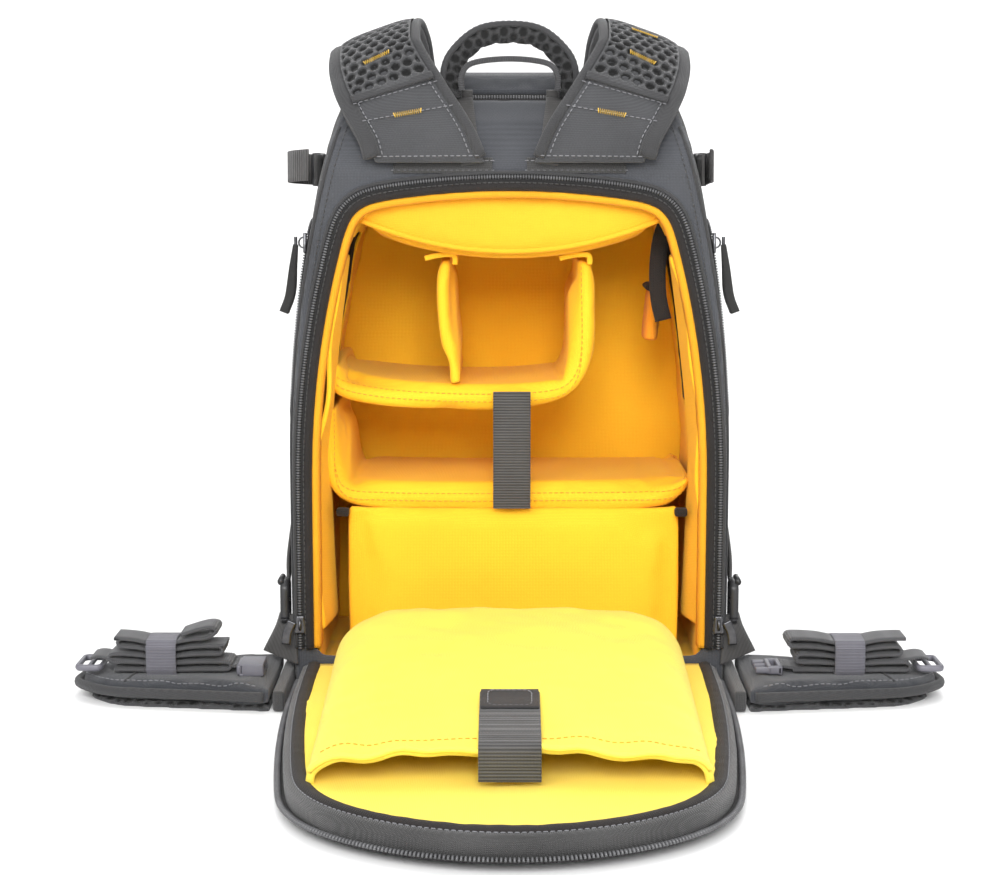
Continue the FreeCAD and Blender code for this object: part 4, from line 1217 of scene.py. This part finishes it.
def make_shoulder_strap(side, sign):
    """Padded strap: grey base with a level sewn end, large-hole air mesh, bound edges and bartacks."""
    body = f"shoulder_strap_{side}"
    frames = strap_frames(sign)
    ups = [up for _, _, up, _ in frames]
    profile = [(-0.033, 0.0), (-0.031, -0.0048), (-0.018, -0.0062), (0.018, -0.0062), (0.031, -0.0048),
               (0.033, 0.0), (0.0315, 0.0030), (0.024, 0.0046), (0.012, 0.0054), (0.0, 0.0056),
               (-0.012, 0.0054), (-0.024, 0.0046), (-0.0315, 0.0030)]

    def shaped(share, a, b):
        ease = min(1.0, 0.30 + share * 8) * min(1.0, 0.4 + (1 - share) * 14)
        ripple = 1 + 0.10 * noise.noise(Vector((share * 40, a * 60, sign)))
        return a * 0.985, b * ease * ripple if b > 0 else b * ease
    step = 4
    core = sweep(f"strap_body_{side}", frames[::step], profile, None, STRAP_GREY, body,
                 shape=shaped)
    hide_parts(body)
    start = next(index for index, frame in enumerate(frames) if frame[0].z > MESH_START)
    end = int(len(frames) * MESH_SHARE)
    mesh_sheet(f"strap_air_mesh_{side}", frames[start:end], 0.058, 0.0022, AIR_MESH, body,
               0.0066, 0.0034)
    for edge_name, edge in (("inner", -sign), ("outer", sign)):
        facing = 1 if frames[0][1].x > 0 else -1
        reach = (0.0315 if edge == -sign else 0.0335) * edge * facing
        rim = [point + across * reach + up * 0.0022 for point, across, up, _ in frames[3::step]]
        seam = [point + across * reach * 0.80 + up * 0.0062 for point, across, up, _ in frames[6:start]]
        wide = 0.0085 if edge == -sign else 0.0135
        sweep(f"strap_binding_{edge_name}_{side}", rim, round_profile(wide, 0.0074, 10), ups[3::step], EDGE,
              body)
        stitches(f"strap_edge_stitches_{edge_name}_{side}", seam, ups[6:start], body, THREAD)
    for index, name in ((start - 4, "upper"), (start - 21, "middle"), (3, "end")):
        point, across, up, _ = frames[index]
        row = [point + across * a * MM + up * 0.0062 for a in range(-29, 30, 2)]
        stitches(f"strap_cross_stitches_{name}_{side}", row, up, body, THREAD)
    point, across, up, _ = frames[start]
    sweep(f"strap_mesh_hem_{side}", [point + across * a * MM + up * 0.0072 for a in range(-30, 31, 4)],
          flat_profile(0.0060, 0.0030), up, EDGE, body)
    tacks = [(start - 21, 0.0066), (start + 24, 0.0094)]
    if side == "right":
        tacks.append((start + 52, 0.0094))
    for number, (index, lift) in enumerate(tacks):
        point, across, up, _ = frames[index]
        bartack(f"strap_bartack_{number}_{side}", point + up * lift, across.normalized(), up, body)


HANDLE_HALF_WIDTH, HANDLE_HALF_HEIGHT = 0.0105, 0.0085   # section of the padded carry handle
HANDLE_POINTS = 44                                       # points round that section


def padded_grip(line, outs):
    """The carry handle's mesh-covered core, holed all round except on its outer face."""
    points, holes, faces, st = [], [], [], []
    along = 0.0
    for row, (point, across, up, _) in enumerate(sections(line, outs)):
        along += (point - line[row - 1]).length if row else 0.0
        for k in range(HANDLE_POINTS):
            a, b = math.cos(math.tau * k / HANDLE_POINTS), math.sin(math.tau * k / HANDLE_POINTS)
            turn = (k / HANDLE_POINTS) * 2 * math.pi * 0.0090
            hole = hole_depth(turn, along) * (b < 0.55)
            reach = 1 - 0.17 * hole
            points.append(point + across * a * HANDLE_HALF_WIDTH * reach
                          + up * b * HANDLE_HALF_HEIGHT * reach)
            holes.append(hole)
            st.append((turn, along, 0))
    for row in range(len(line) - 1):
        for k in range(HANDLE_POINTS):
            a, b = row * HANDLE_POINTS + k, row * HANDLE_POINTS + (k + 1) % HANDLE_POINTS
            faces.append((a, b, b + HANDLE_POINTS, a + HANDLE_POINTS))
    last = (len(line) - 1) * HANDLE_POINTS
    faces += [tuple(range(HANDLE_POINTS))[::-1], tuple(range(last, last + HANDLE_POINTS))]
    grip = build("carry_handle_pad", points, faces, BLACK_MESH, "carry_handle", st, holes)
    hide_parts("carry_handle")


def make_carry_handle():
    """Padded arch of air mesh with a stitched cover strip along its outer side."""
    low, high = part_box("carry_handle")
    y = (low.y + high.y) / 2
    half, foot, top = high.x - 0.004, low.z - 0.004, high.z - 0.0085
    rising = [(-half, foot), (-half, foot + 0.018), (-half * 0.88, top - 0.018), (-half * 0.50, top - 0.0035)]
    falling = [(-x, z) for x, z in reversed(rising)]
    line = curve([Vector((x, y, z)) for x, z in [*rising, (0, top), *falling]], 0.0011)
    outs = [Y.cross(run).normalized() * -1 for run in directions(line)]
    padded_grip(line, outs)
    coarse, coarse_outs = line[::3], outs[::3]
    frames = sections(coarse, coarse_outs)
    outer = [point + up * 0.0058 for point, across, up, _ in frames]
    sweep("carry_handle_cover", outer, flat_profile(0.0225, 0.0036, 0.0010), coarse_outs, EDGE,
          "carry_handle")
    for edge, name in ((-1, "front"), (1, "back")):
        seam = [point + up * 0.0080 + across * edge * 0.0078 for point, across, up, _ in frames]
        stitches(f"carry_handle_stitches_{name}", seam, coarse_outs, "carry_handle", THREAD)


def make_haul_loop():
    """Thin webbing loop in front of the carry handle."""
    low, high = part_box("haul_loop")
    y, top = (low.y + high.y) / 2, high.z
    half = high.x + 0.0035
    rising = [(-half, low.z), (-half, top - 0.013), (-half * 0.78, top - 0.0035)]
    falling = [(-x, z) for x, z in reversed(rising)]
    line = curve([Vector((x, y, z)) for x, z in [*rising, (0, top - 0.0002), *falling]])
    outs = [Y.cross(run) * -1 for run in directions(line)]
    strip = webbing("haul_loop_webbing", line, 0.0105, 0.0040, outs, "haul_loop", DARK_WEBBING, pitch=0.0013)
    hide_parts("haul_loop")


def make_patches(tree):
    """Sewn webbing ends below the haul loop and the patches under the strap ends, laid on the yoke."""
    patches = []
    for side, sign in SIDES:
        line = [Vector((sign * (29 + k * 0.36), -130, 412 + k * 2.6)) * MM for k in range(21)]
        path, outs = hug(tree, line, Y, 0.0016)
        path.append(path[-1] + Vector((0, -0.002, 0.006)))
        outs.append(outs[-1])
        patches.append(webbing(f"loop_end_raw_{side}", path, 0.0150, 0.0022, outs, None))
        base = [Vector((sign * x * MM, -0.13, 0.4115)) for x in range(13, 91, 3)]
        path, outs = hug(tree, base, Y, 0.0006)
        patches.append(sweep(f"patch_raw_{side}", path, flat_profile(0.0120, 0.0022), outs, CHARCOAL, None))
        for lift in (-0.0036, 0.0036):
            row = [point + Z * lift - Y * 0.0014 for point in path]
            stitches(f"patch_stitches_{side}_{'upper' if lift > 0 else 'lower'}", row, outs, "root", THREAD)
    whole = join("harness_patch_set", patches, "root")
    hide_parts("harness_patches")


# ---------------------------------------------------------------- sliders and pulls

def make_slider(name, node):
    """A zip slider: wedge-shaped body and bridge, in the CAD slider's place."""
    low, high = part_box(node)
    size = high - low
    middle = (low + high) / 2
    thin = min(range(3), key=lambda axis: size[axis])
    long = max(range(3), key=lambda axis: size[axis])
    wide = 3 - thin - long
    out = Vector((0, 0, 0))
    out[thin] = 1.0 if middle[thin] > 0 else -1.0
    run = Vector((0, 0, 0))
    run[long] = 1.0
    length, width, thick = size[long], size[wide], size[thin]
    base = middle - out * thick * 0.32

    def wedge(share, a, b):
        pinch = 1 - 0.34 * max(0.0, share - 0.35) / 0.65
        return a * pinch, b
    plate = sweep(f"{name}_plate", resample([base - run * length / 2, base + run * length / 2], 0.0012),
                  flat_profile(width, thick * 0.36), out, METAL, None, shape=wedge)
    bridge = curve([base - run * length * 0.30, base - run * length * 0.22 + out * thick * 0.55,
                    base + out * thick * 0.78, base + run * length * 0.22 + out * thick * 0.55,
                    base + run * length * 0.30], 0.0006)
    arch = sweep(f"{name}_bridge", bridge, round_profile(0.0022, 0.0014, 8), out, METAL, None)
    slider = join(name, [plate, arch], node)
    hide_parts(node)


def tapered(share, a, b):
    """A pull that is narrow at its eye and full at its end."""
    return a * (0.50 + 0.62 * min(1, share * 2.2)), b * (0.8 + 0.7 * min(1.0, share * 1.6))


def make_sliders():
    """All zip sliders with their pulls."""
    for side, sign in SIDES:
        make_slider(f"main_zip_slider_{side}", f"main_slider_{side}")
        make_slider(f"side_zip_slider_{side}", f"side_slider_{side}")
        make_slider(f"cover_zip_slider_{side}", f"top_slider_{side}")
        low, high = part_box(f"side_pull_{side}")
        x, y = (low.x + high.x) / 2, (low.y + high.y) / 2
        top = Vector((x - sign * 0.003, y, high.z + 0.006))
        line = curve([top, Vector((x - sign * 0.001, y, high.z - 0.010)),
                      Vector((x + sign * 0.0015, y, low.z + 0.012)),
                      Vector((x + sign * 0.0065, y, low.z - 0.002))], 0.002)
        tab = sweep(f"side_pull_raw_{side}", line, flat_profile(0.0115, 0.0046), X * sign, BLACK_FABRIC, None,
                    shape=tapered)
        eye = curve([top + Z * 0.006, top + Z * 0.002, top - Z * 0.004], 0.001)
        cord = sweep(f"side_cord_raw_{side}", eye, round_profile(0.0026, 0.0026, 8), X * sign, METAL, None)
        pull = join(f"side_zip_pull_{side}", [tab, cord], f"side_pull_{side}")
        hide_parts(f"side_pull_{side}")
        low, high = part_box(f"main_pull_{side}")
        middle = (low + high) / 2
        line = curve([Vector((middle.x - sign * 0.004, middle.y, high.z)), middle,
                      Vector((middle.x + sign * 0.001, middle.y, low.z))], 0.001)
        pull = sweep(f"main_zip_pull_{side}", line, flat_profile(0.0070, 0.0024), -Y, METAL,
                     f"main_pull_{side}")
        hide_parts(f"main_pull_{side}")
    make_slider("pocket_zip_slider", "pocket_slider")


# ---------------------------------------------------------------- hip belt

def make_wing(side, sign):
    """Padded hip-belt wing with air mesh under it."""
    body = f"hip_wing_{side}"
    root = abs(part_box(body)[0].x if sign > 0 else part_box(body)[1].x)

    def stays(point):
        return abs(point.x) < root + 0.004
    padded_cover(f"hip_wing_cover_{side}", [body], WING_GREY, body, 0.0044, 6, 0.0015,
                 (0.004, 4.0, stays))
    mesh = soft_copy(f"hip_air_mesh_{side}", [f"hip_mesh_{side}"], AIR_MESH, body, 0.0030, 4,
                     -0.0010)
    mark_holes(mesh, 2)


def shrink_ring(ring, distance):
    """A convex outline moved inwards by a distance."""
    points = resample([Vector((*point, 0)) for point in [*ring, ring[0]]], 0.003)[:-1]
    middle = sum(points, Vector()) / len(points)
    moved = []
    for index, point in enumerate(points):
        run = (points[(index + 1) % len(points)] - points[index - 1]).normalized()
        side = Vector((-run.y, run.x, 0))
        moved.append(point + side * distance * (1 if side.dot(middle - point) > 0 else -1))
    return moved


def open_run(loop, root):
    """The part of a closed outline that lies beyond a root, in one unbroken run."""
    keep = [abs(point.x) > root for point in loop]
    start = next(index for index in range(len(loop)) if keep[index] and not keep[index - 1])
    turned = loop[start:] + loop[:start]
    return [point for point in turned if abs(point.x) > root]


def wing_details(side, sign):
    """Stitch lines, bound edge and diagonal seam, laid on the swollen wing."""
    body = f"hip_wing_{side}"
    tree = surface(bpy.data.objects[f"hip_wing_cover_{side}"])
    ring = hull(body, 0, 1)
    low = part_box(body)[0]
    inner = [Vector((point.x, point.y, 0.2)) for point in open_run(shrink_ring(ring, 0.0080), 0.192)]
    path, normals = hug(tree, inner, -Z, 0.0003)
    stitches(f"wing_stitches_{side}", path, normals, body, THREAD)
    edge = [Vector((point.x, point.y, low.z + 0.0085))
            for point in open_run(shrink_ring(ring, 0.0012), 0.184)]
    sweep(f"wing_bound_edge_{side}", edge, round_profile(0.0062, 0.0076, 10), Z, EDGE, body)
    seam = [Vector((sign * x * MM, y * MM, 0.2))
            for x, y in ((294, -150), (288, -136), (282, -118), (274, -88))]
    path, normals = hug(tree, curve(seam, 0.003), -Z, 0.0002)
    sweep(f"wing_seam_{side}", path, round_profile(0.0026, 0.0018, 8), normals, EDGE, body)


BELT_TAIL = [(0.005, 0.0022), (0.009, 0.0050), (0.008, 0.0078),      # (ahead, up) from the last fold's end
             (0.002, 0.0086), (-0.008, 0.0062), (-0.018, 0.0028)]
BELT_LAYERS = 5


def make_bundle(side, sign):
    """Belt webbing folded to and fro, its elastic keeper, tri-glide and buckle half."""
    body = f"hip_wing_{side}"
    coords = coordinates(f"belt_webbing_{side}")
    low, high = coords.min(0), coords.max(0)
    y = (low[1] + high[1]) / 2
    inner, outer = sorted((abs(low[0]), abs(high[0])))
    base = low[2] + 0.0022
    gap = (high[2] - low[2]) / BELT_LAYERS
    waist = inner + (outer - inner) * (0.56 if side == "left" else 0.50)
    line = []

    def place(x, z):
        pinch = 1 - 0.17 * math.exp(-((x - waist) / 0.018) ** 2)
        line.append(Vector((sign * x, y, base + (z - base) * pinch)))

    for layer in range(BELT_LAYERS):
        z = base + gap * (layer + 0.5)
        ends = [inner + 0.008 + 0.006 * (layer in (1, 2)), outer - 0.008 - 0.007 * (layer in (2, 3))]
        if side == "left" and layer == BELT_LAYERS - 1:
            ends[0] += 0.016
        if (layer % 2 == 1) != (side == "left"):
            ends.reverse()
        way = 1 if ends[1] > ends[0] else -1
        for k in range(9):
            place(ends[0] + (ends[1] - ends[0]) * k / 8, z)
        if layer < BELT_LAYERS - 1:
            radius = gap / 2
            for angle in (-50, -15, 20, 55):
                turn = math.radians(angle)
                place(ends[1] + way * radius * 1.25 * math.cos(turn), z + radius + radius * math.sin(turn))
    if side == "left":
        tip = line[-1]
        way = Vector((sign if tip.x * sign > waist else -sign, 0, 0))
        line += [tip + way * ahead + Z * rise for ahead, rise in BELT_TAIL]
    path = curve(line, 0.0011)
    outs = [Y.cross(run).normalized() for run in directions(path)]
    webbing(f"belt_strap_{side}", path, 0.0270, 0.0024, outs, body, SOFT_WEBBING, pitch=0.0018)
    top = base + (high[2] - base) * 0.86
    half = 0.0160
    keeper_line = [Vector((sign * waist, y + half * a, z)) for a, z in
                   ((-1, base + 0.004), (-1, top - 0.003), (-0.8, top + 0.0010), (0, top + 0.0022),
                    (0.8, top + 0.0010), (1, top - 0.003), (1, base + 0.004), (0.8, base - 0.0016),
                    (0, base - 0.0020), (-0.8, base - 0.0016), (-1, base + 0.004))]
    line = resample(keeper_line, 0.0012)
    centre = Vector((sign * waist, y, (base + top) / 2))
    outs = [(point - centre).normalized() for point in line]
    keeper = webbing(f"belt_keeper_{side}", line, 0.0230, 0.0016, outs, body, ELASTIC, pitch=0.0012)
    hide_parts(f"belt_webbing_{side}")
    make_belt_hardware(side, sign, y)


def ring_frame(name, centre, half_x, half_y, thick, tall, material):
    """A rounded rectangular loop of plastic."""
    corner = 0.0035
    loop = []
    for cx, cy, first in ((1, 1, 0), (-1, 1, 90), (-1, -1, 180), (1, -1, 270)):
        for k in range(7):
            angle = math.radians(first + k * 15)
            loop.append(centre + Vector((cx * (half_x - corner) + corner * math.cos(angle),
                                         cy * (half_y - corner) + corner * math.sin(angle), 0)))
    loop = resample([*loop, loop[0]], 0.0015)
    return sweep(name, loop, round_profile(thick, tall, 10), Z, material, None)


def make_belt_hardware(side, sign, y):
    """Tri-glide, one half of the hip-belt buckle and the webbing between them."""
    body = f"hip_wing_{side}"
    coords = coordinates(f"belt_hardware_{side}")
    outer = coords[np.abs(coords[:, 0]) > 0.30]
    inner = coords[np.abs(coords[:, 0]) < 0.25]
    low, high = outer.min(0), outer.max(0)
    centre = Vector((low + high) / 2)
    half = (high - low) / 2
    pieces = [ring_frame(f"glide_raw_{side}", centre, half[0], half[1], 0.0036, half[2] * 1.3, LILAC)]
    bar = [centre + Y * (half[1] - 0.003), centre - Y * (half[1] - 0.003)]
    pieces.append(sweep(f"glide_bar_raw_{side}", resample(bar, 0.003), round_profile(0.0036, 0.0042, 8), Z,
                        LILAC, None))
    low, high = inner.min(0), inner.max(0)
    x0, x1 = sorted((abs(low[0]), abs(high[0])))

    def part(name, a, b, bevel):
        ends = [(sign * x, along, z) for x, along, z in (a, b)]
        pieces.append(block(name, np.min(ends, axis=0), np.max(ends, axis=0), bevel, LILAC))
    if side == "left":
        z0, z1 = low[2], high[2]
        part("socket_top_raw", (x0, low[1], z1 - 0.0024), (x1 - 0.002, high[1], z1), 0.0011)
        part("socket_low_raw", (x0, low[1], z0), (x1 - 0.002, high[1], z0 + 0.0024), 0.0011)
        part("socket_near_raw", (x0, low[1], z0), (x1 - 0.004, low[1] + 0.003, z1), 0.0012)
        part("socket_far_raw", (x0, high[1] - 0.003, z0), (x1 - 0.004, high[1], z1), 0.0012)
        part("socket_bar_raw", (x1 - 0.004, low[1], z0 + 0.001), (x1, high[1], z1 - 0.001), 0.0016)
    else:
        z0, z1 = low[2] + 0.0015, high[2] - 0.0015
        part("clip_bar_raw", (x1 - 0.004, low[1], z0), (x1, high[1], z1), 0.0014)
        part("clip_bridge_raw", (x0 + 0.009, low[1], z0 + 0.0006), (x0 + 0.013, high[1], z1), 0.0014)
        for place in (low[1], high[1] - 0.0035):
            part("clip_side_raw", (x0 + 0.010, place, z0 + 0.0006), (x1, place + 0.0035, z1), 0.0012)
        middle = (low[1] + high[1]) / 2
        for place, width in ((low[1], 0.0045), (middle - 0.0015, 0.0030), (high[1] - 0.0045, 0.0045)):
            part("clip_prong_raw", (x0, place, z0 + 0.0012), (x0 + 0.011, place + width, z1 - 0.0010), 0.0013)
    hardware = join(f"belt_buckle_parts_{side}", pieces, body)
    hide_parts(f"belt_hardware_{side}")
    tail = [Vector((sign * x, y, z)) for x, z in ((0.322, centre.z + 0.0062), (0.316, centre.z + 0.0075),
            (0.306, centre.z + 0.0060), (0.290, centre.z + 0.0042), (0.276, centre.z + 0.0035))]
    webbing(f"belt_tail_{side}", curve(tail), 0.0260, 0.0018, Z, body, SOFT_WEBBING)
    lead = [Vector((sign * x, y, z)) for x, z in ((0.2095, 0.0300), (0.216, 0.0290), (0.226, 0.0275),
                                                  (0.240, 0.0268))]
    webbing(f"belt_lead_{side}", curve(lead), 0.0240, 0.0018, Z, body, SOFT_WEBBING)


# ---------------------------------------------------------------- webbing, locks and side buckles

def make_side_gear(side, sign):
    """The three plastic parts of one ladder lock."""
    low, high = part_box("ladder_locks")
    y0, y1, z0, z1 = low.y, high.y, low.z, high.z
    x = sign * (high.x - 0.004)
    frame_loop = []
    for y, z in ((y0, z0 + 0.004), (y0, z1 - 0.004), (y0 + 0.004, z1), (y1 - 0.004, z1), (y1, z1 - 0.004),
                 (y1, z0 + 0.004), (y1 - 0.004, z0), (y0 + 0.004, z0), (y0, z0 + 0.004)):
        frame_loop.append(Vector((x, y, z)))
    loop = sweep(f"lock_raw_{side}", resample(frame_loop, 0.0015), round_profile(0.0040, 0.0070, 10),
                 X * sign, BLACK, None)
    ends = (y0 + 0.001, y1 - 0.001)
    bar = sweep(f"lock_bar_raw_{side}", [Vector((x, y, (z0 + z1) / 2)) for y in ends],
                round_profile(0.0042, 0.0060, 10), X * sign, BLACK, None)
    lip = sweep(f"lock_lip_raw_{side}", [Vector((x + sign * 0.003, y, z1 + 0.001)) for y in ends],
                round_profile(0.0060, 0.0050, 10), X * sign, BLACK, None)
    return [loop, bar, lip]


def widened(share, a, b):
    """Widens a strap from its upper end to its lower."""
    return a * (0.55 + share), b


def make_webbing():
    """Ladder locks, the lower webbing of the shoulder straps and its anchor triangles, and wing roots."""
    locks, straps = [], []
    for side, sign in SIDES:
        locks += make_side_gear(side, sign)
        line = curve(in_metres(WEBBING_CENTRES, sign))
        outs = [(Z - run * run.z).normalized().cross(run) * -sign for run in directions(line)]
        straps.append(webbing(f"lower_raw_{side}", line, 0.0245, 0.0020, outs, None))
        for lift in (0.0, 0.005):
            tri = [Vector((sign * x, along, z)) for x, along, z in
                   ((0.1740 + lift * 0.3, -0.100 + lift, 0.062), (0.1765, -0.101 + lift, 0.046),
                    (0.1800, -0.101 + lift, 0.028))]
            straps.append(sweep(f"triangle_raw_{side}", curve(tri, 0.0011), flat_profile(0.0240, 0.0022),
                                Vector((sign * 0.6, -0.8, 0)), WEBBING, None, shape=widened))
    lock_set = join("ladder_lock_set", locks, "root")
    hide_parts("ladder_locks")
    lower = join("lower_webbing_set", straps, "root")
    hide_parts("lower_webbing")
    padded_cover("wing_root_covers", ["wing_roots"], CHARCOAL, "root", 0.0032, 3, 0.0006,
                 (0.002, 3.0))


def make_side_buckles():
    """Compression straps with side-release buckles on both upper sides."""
    straps, sockets = [], []
    for side, sign in SIDES:
        coords = coordinates("side_straps")
        coords = coords[coords[:, 0] * sign > 0]
        for group in (coords[coords[:, 1] < 0], coords[coords[:, 1] > 0]):
            low, high = group.min(0), group.max(0)
            x = (low[0] + high[0]) / 2
            line = [Vector((x, y, (low[2] + high[2]) / 2))
                    for y in (low[1] - 0.004, (low[1] + high[1]) / 2, high[1] + 0.004)]
            straps.append(webbing(f"side_strap_raw_{side}", line, high[2] - low[2], 0.0022, X * sign, None))
        coords = coordinates("side_buckle_sockets")
        coords = coords[coords[:, 0] * sign > 0]
        low, high = Vector(coords.min(0)), Vector(coords.max(0))
        middle = (low + high) / 2
        outline = [middle + Vector((0, y, 0)) for y in (low.y - middle.y, -0.006, 0.0, high.y - middle.y)]

        def waisted(share, a, b):
            return a * (1.0 - 0.16 * math.sin(share * math.pi)), b * (0.72 + 0.28 * share)
        section = flat_profile(high.z - low.z, high.x - low.x, 0.0006)
        sockets.append(sweep(f"socket_raw_{side}", curve(outline, 0.002), section, X * sign, BLACK, None,
                             shape=waisted))
        clip = f"side_buckle_clip_{side}"
        low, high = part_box(clip)
        middle = (low + high) / 2
        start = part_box("side_buckle_sockets")[1].y + 0.0008
        body_end = start + 0.022
        base = [Vector((middle.x, y, middle.z)) for y in (start, start + 0.008, body_end)]
        grip = sweep(f"clip_grip_raw_{side}", curve(base, 0.002), flat_profile(0.0240, 0.0078, 0.0005),
                     X * sign, BLACK, None)
        tail = [Vector((middle.x - sign * 0.0005, y, middle.z))
                for y in (body_end - 0.002, body_end + 0.012, high.y)]
        belt = webbing(f"clip_tail_raw_{side}", curve(tail), 0.0235, 0.0022, X * sign, None)
        piece = join(f"side_clip_parts_{side}", [grip, belt], clip)
        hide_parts(clip)
        bulge = 0.019 if side == "left" else 0.005
        loop = [Vector((middle.x + sign * reach, y, middle.z + drop)) for reach, y, drop in
                ((0.004, -0.040, 0.0), (bulge * 0.8, -0.052, 0.001), (bulge, -0.068, 0.002),
                 (bulge * 0.75, -0.082, 0.003), (0.002, -0.092, 0.004))]
        webbing(f"side_strap_loop_{side}", curve(loop), 0.0240, 0.0024, X * sign, "root")
    strap_set = join("side_strap_set", straps, "root")
    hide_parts("side_straps")
    socket_set = join("side_socket_set", sockets, "root")
    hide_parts("side_buckle_sockets")


def pocket_details():
    """Piping, zip and quilting of the outer pocket, laid on its swollen face."""
    tree = surface(bpy.data.objects["front_pocket_fabric"])
    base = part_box("front_pocket")[0].z
    ring = hull("front_pocket", 0, 2)
    middle = ring.mean(0)
    loop = [Vector((x, 0.2, z)) for x, z in middle + (ring - middle) * 0.93]
    path, normals = hug(tree, resample([*loop, loop[0]], 0.004), -Y, 0.0004)
    sweep("pocket_piping", path, round_profile(0.0034, 0.0030, 8), normals, EDGE, "root")
    zip_height = (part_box("pocket_slider")[0].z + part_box("pocket_slider")[1].z) / 2
    line = [Vector((x * MM, 0.2, zip_height)) for x in range(-82, 83, 4)]
    path, normals = hug(tree, line, -Y, 0.0006)
    sweep("pocket_zip_tape", path, flat_profile(0.0110, 0.0014), normals, TAPE, "root")
    path = [point + normal * 0.0006 for point, normal in zip(path, normals)]
    repeat("pocket_zip_teeth", path, normals, TOOTH_PITCH, TOOTH, TEETH_PAINTED_HIGHLIGHT, "root")
    for lift in (0.052, 0.10, 0.148):
        line = [Vector((x * MM, 0.2, base + lift)) for x in range(-98, 99, 4)]
        path, normals = hug(tree, line, -Y, 0.0002)
        stitches(f"pocket_quilting_{round(lift * 1000)}", path, normals, "root", DARK_THREAD)


# ---------------------------------------------------------------- studio

LIGHTS = (  # name, place, what it is aimed at, size, watts
    ("key_light", (-1.4, -2.3, 1.9), (0, 0, 0.2), 1.4, 32),
    ("fill_light", (1.7, -2.0, 1.5), (0, 0, 0.2), 1.8, 14),
    ("top_light", (0, 0.3, 2.6), (0, 0, 0.2), 2.2, 30),
    ("front_light", (0, -2.5, 1.35), (0, 0, 0.26), 1.0, 54),
    ("back_light", (0.4, 1.9, 1.9), (0, 0, 0.3), 1.6, 18),
)


def make_studio():
    """Pale floor and backdrop in one sweep, with soft lights round it."""
    scene = bpy.context.scene
    scene.view_settings.view_transform = "Standard"
    points = []
    profile = [(-3.0, 0.0), (1.4, 0.0), (1.9, 0.05), (2.2, 0.22), (2.35, 0.6), (2.4, 3.0)]
    for y, z in profile:
        points += [Vector((-4.5, y, z)), Vector((4.5, y, z))]
    pale = Finish("studio_floor", 0.9)
    pale.colour(pale.noise(2.0), (0.93, 0.93, 0.93), (0.96, 0.96, 0.96))
    floor = build("studio_floor", points, grid_faces(len(profile) - 1, 1), pale.material)
    modify(floor, "SUBSURF", levels=2)
    bake(floor)
    floor.location.z = -0.0006
    world = bpy.data.worlds.new("studio_world")
    world.use_nodes = True
    world.node_tree.nodes["Background"].inputs["Color"].default_value = (1, 1, 1, 1)
    world.node_tree.nodes["Background"].inputs["Strength"].default_value = 0.52
    scene.world = world
    for name, place, aim, width, power in LIGHTS:
        lamp = bpy.data.lights.new(name, "AREA")
        lamp.energy = power
        lamp.size = width
        holder = bpy.data.objects.new(name, lamp)
        holder.location = place
        holder.rotation_euler = (Vector(aim) - Vector(place)).to_track_quat("-Z", "Y").to_euler()
        scene.collection.objects.link(holder)


def make_camera():
    """The camera, in front of the bag and a little above it."""
    lens = bpy.data.cameras.new("camera")
    lens.lens = 70.4
    lens.sensor_width = 36
    camera = bpy.data.objects.new("camera", lens)
    camera.location = (-0.0023, -1.6008, 0.4187)
    pitch, yaw = math.radians(8.195), math.radians(-0.19)
    aim = Vector((math.sin(yaw) * math.cos(pitch), math.cos(yaw) * math.cos(pitch), -math.sin(pitch)))
    camera.rotation_euler = aim.to_track_quat("-Z", "Y").to_euler()
    bpy.context.scene.collection.objects.link(camera)
    bpy.context.scene.camera = camera


# ---------------------------------------------------------------- assembly

make_camera()
make_studio()
KEPT = {"base_panel": DARK, "base_board": BLACK, "outer_zips": TAPE, "top_compartment_floor": YELLOW}
for node, material in KEPT.items():
    wear(NODES[node], material)
make_shell()
make_opening()
make_lining()
make_dividers()
make_panel()
make_sleeve()
make_carry_handle()
make_haul_loop()
for side, sign in SIDES:
    make_shoulder_strap(side, sign)
    make_wing(side, sign)
    make_bundle(side, sign)
make_sliders()
make_webbing()
make_side_buckles()
inflate()
paint_sides(bpy.data.objects["shell_fabric"], SIDE_GREY)
shell_seams(bpy.data.objects["shell_fabric"])
make_patches(surface(bpy.data.objects["shell_fabric"]))
zips = surface(NODES["outer_zips"])
cover_zip(zips)
for side, sign in SIDES:
    door_zip(zips, side, sign)
    wing_details(side, sign)
divider_seams()
pocket_details()
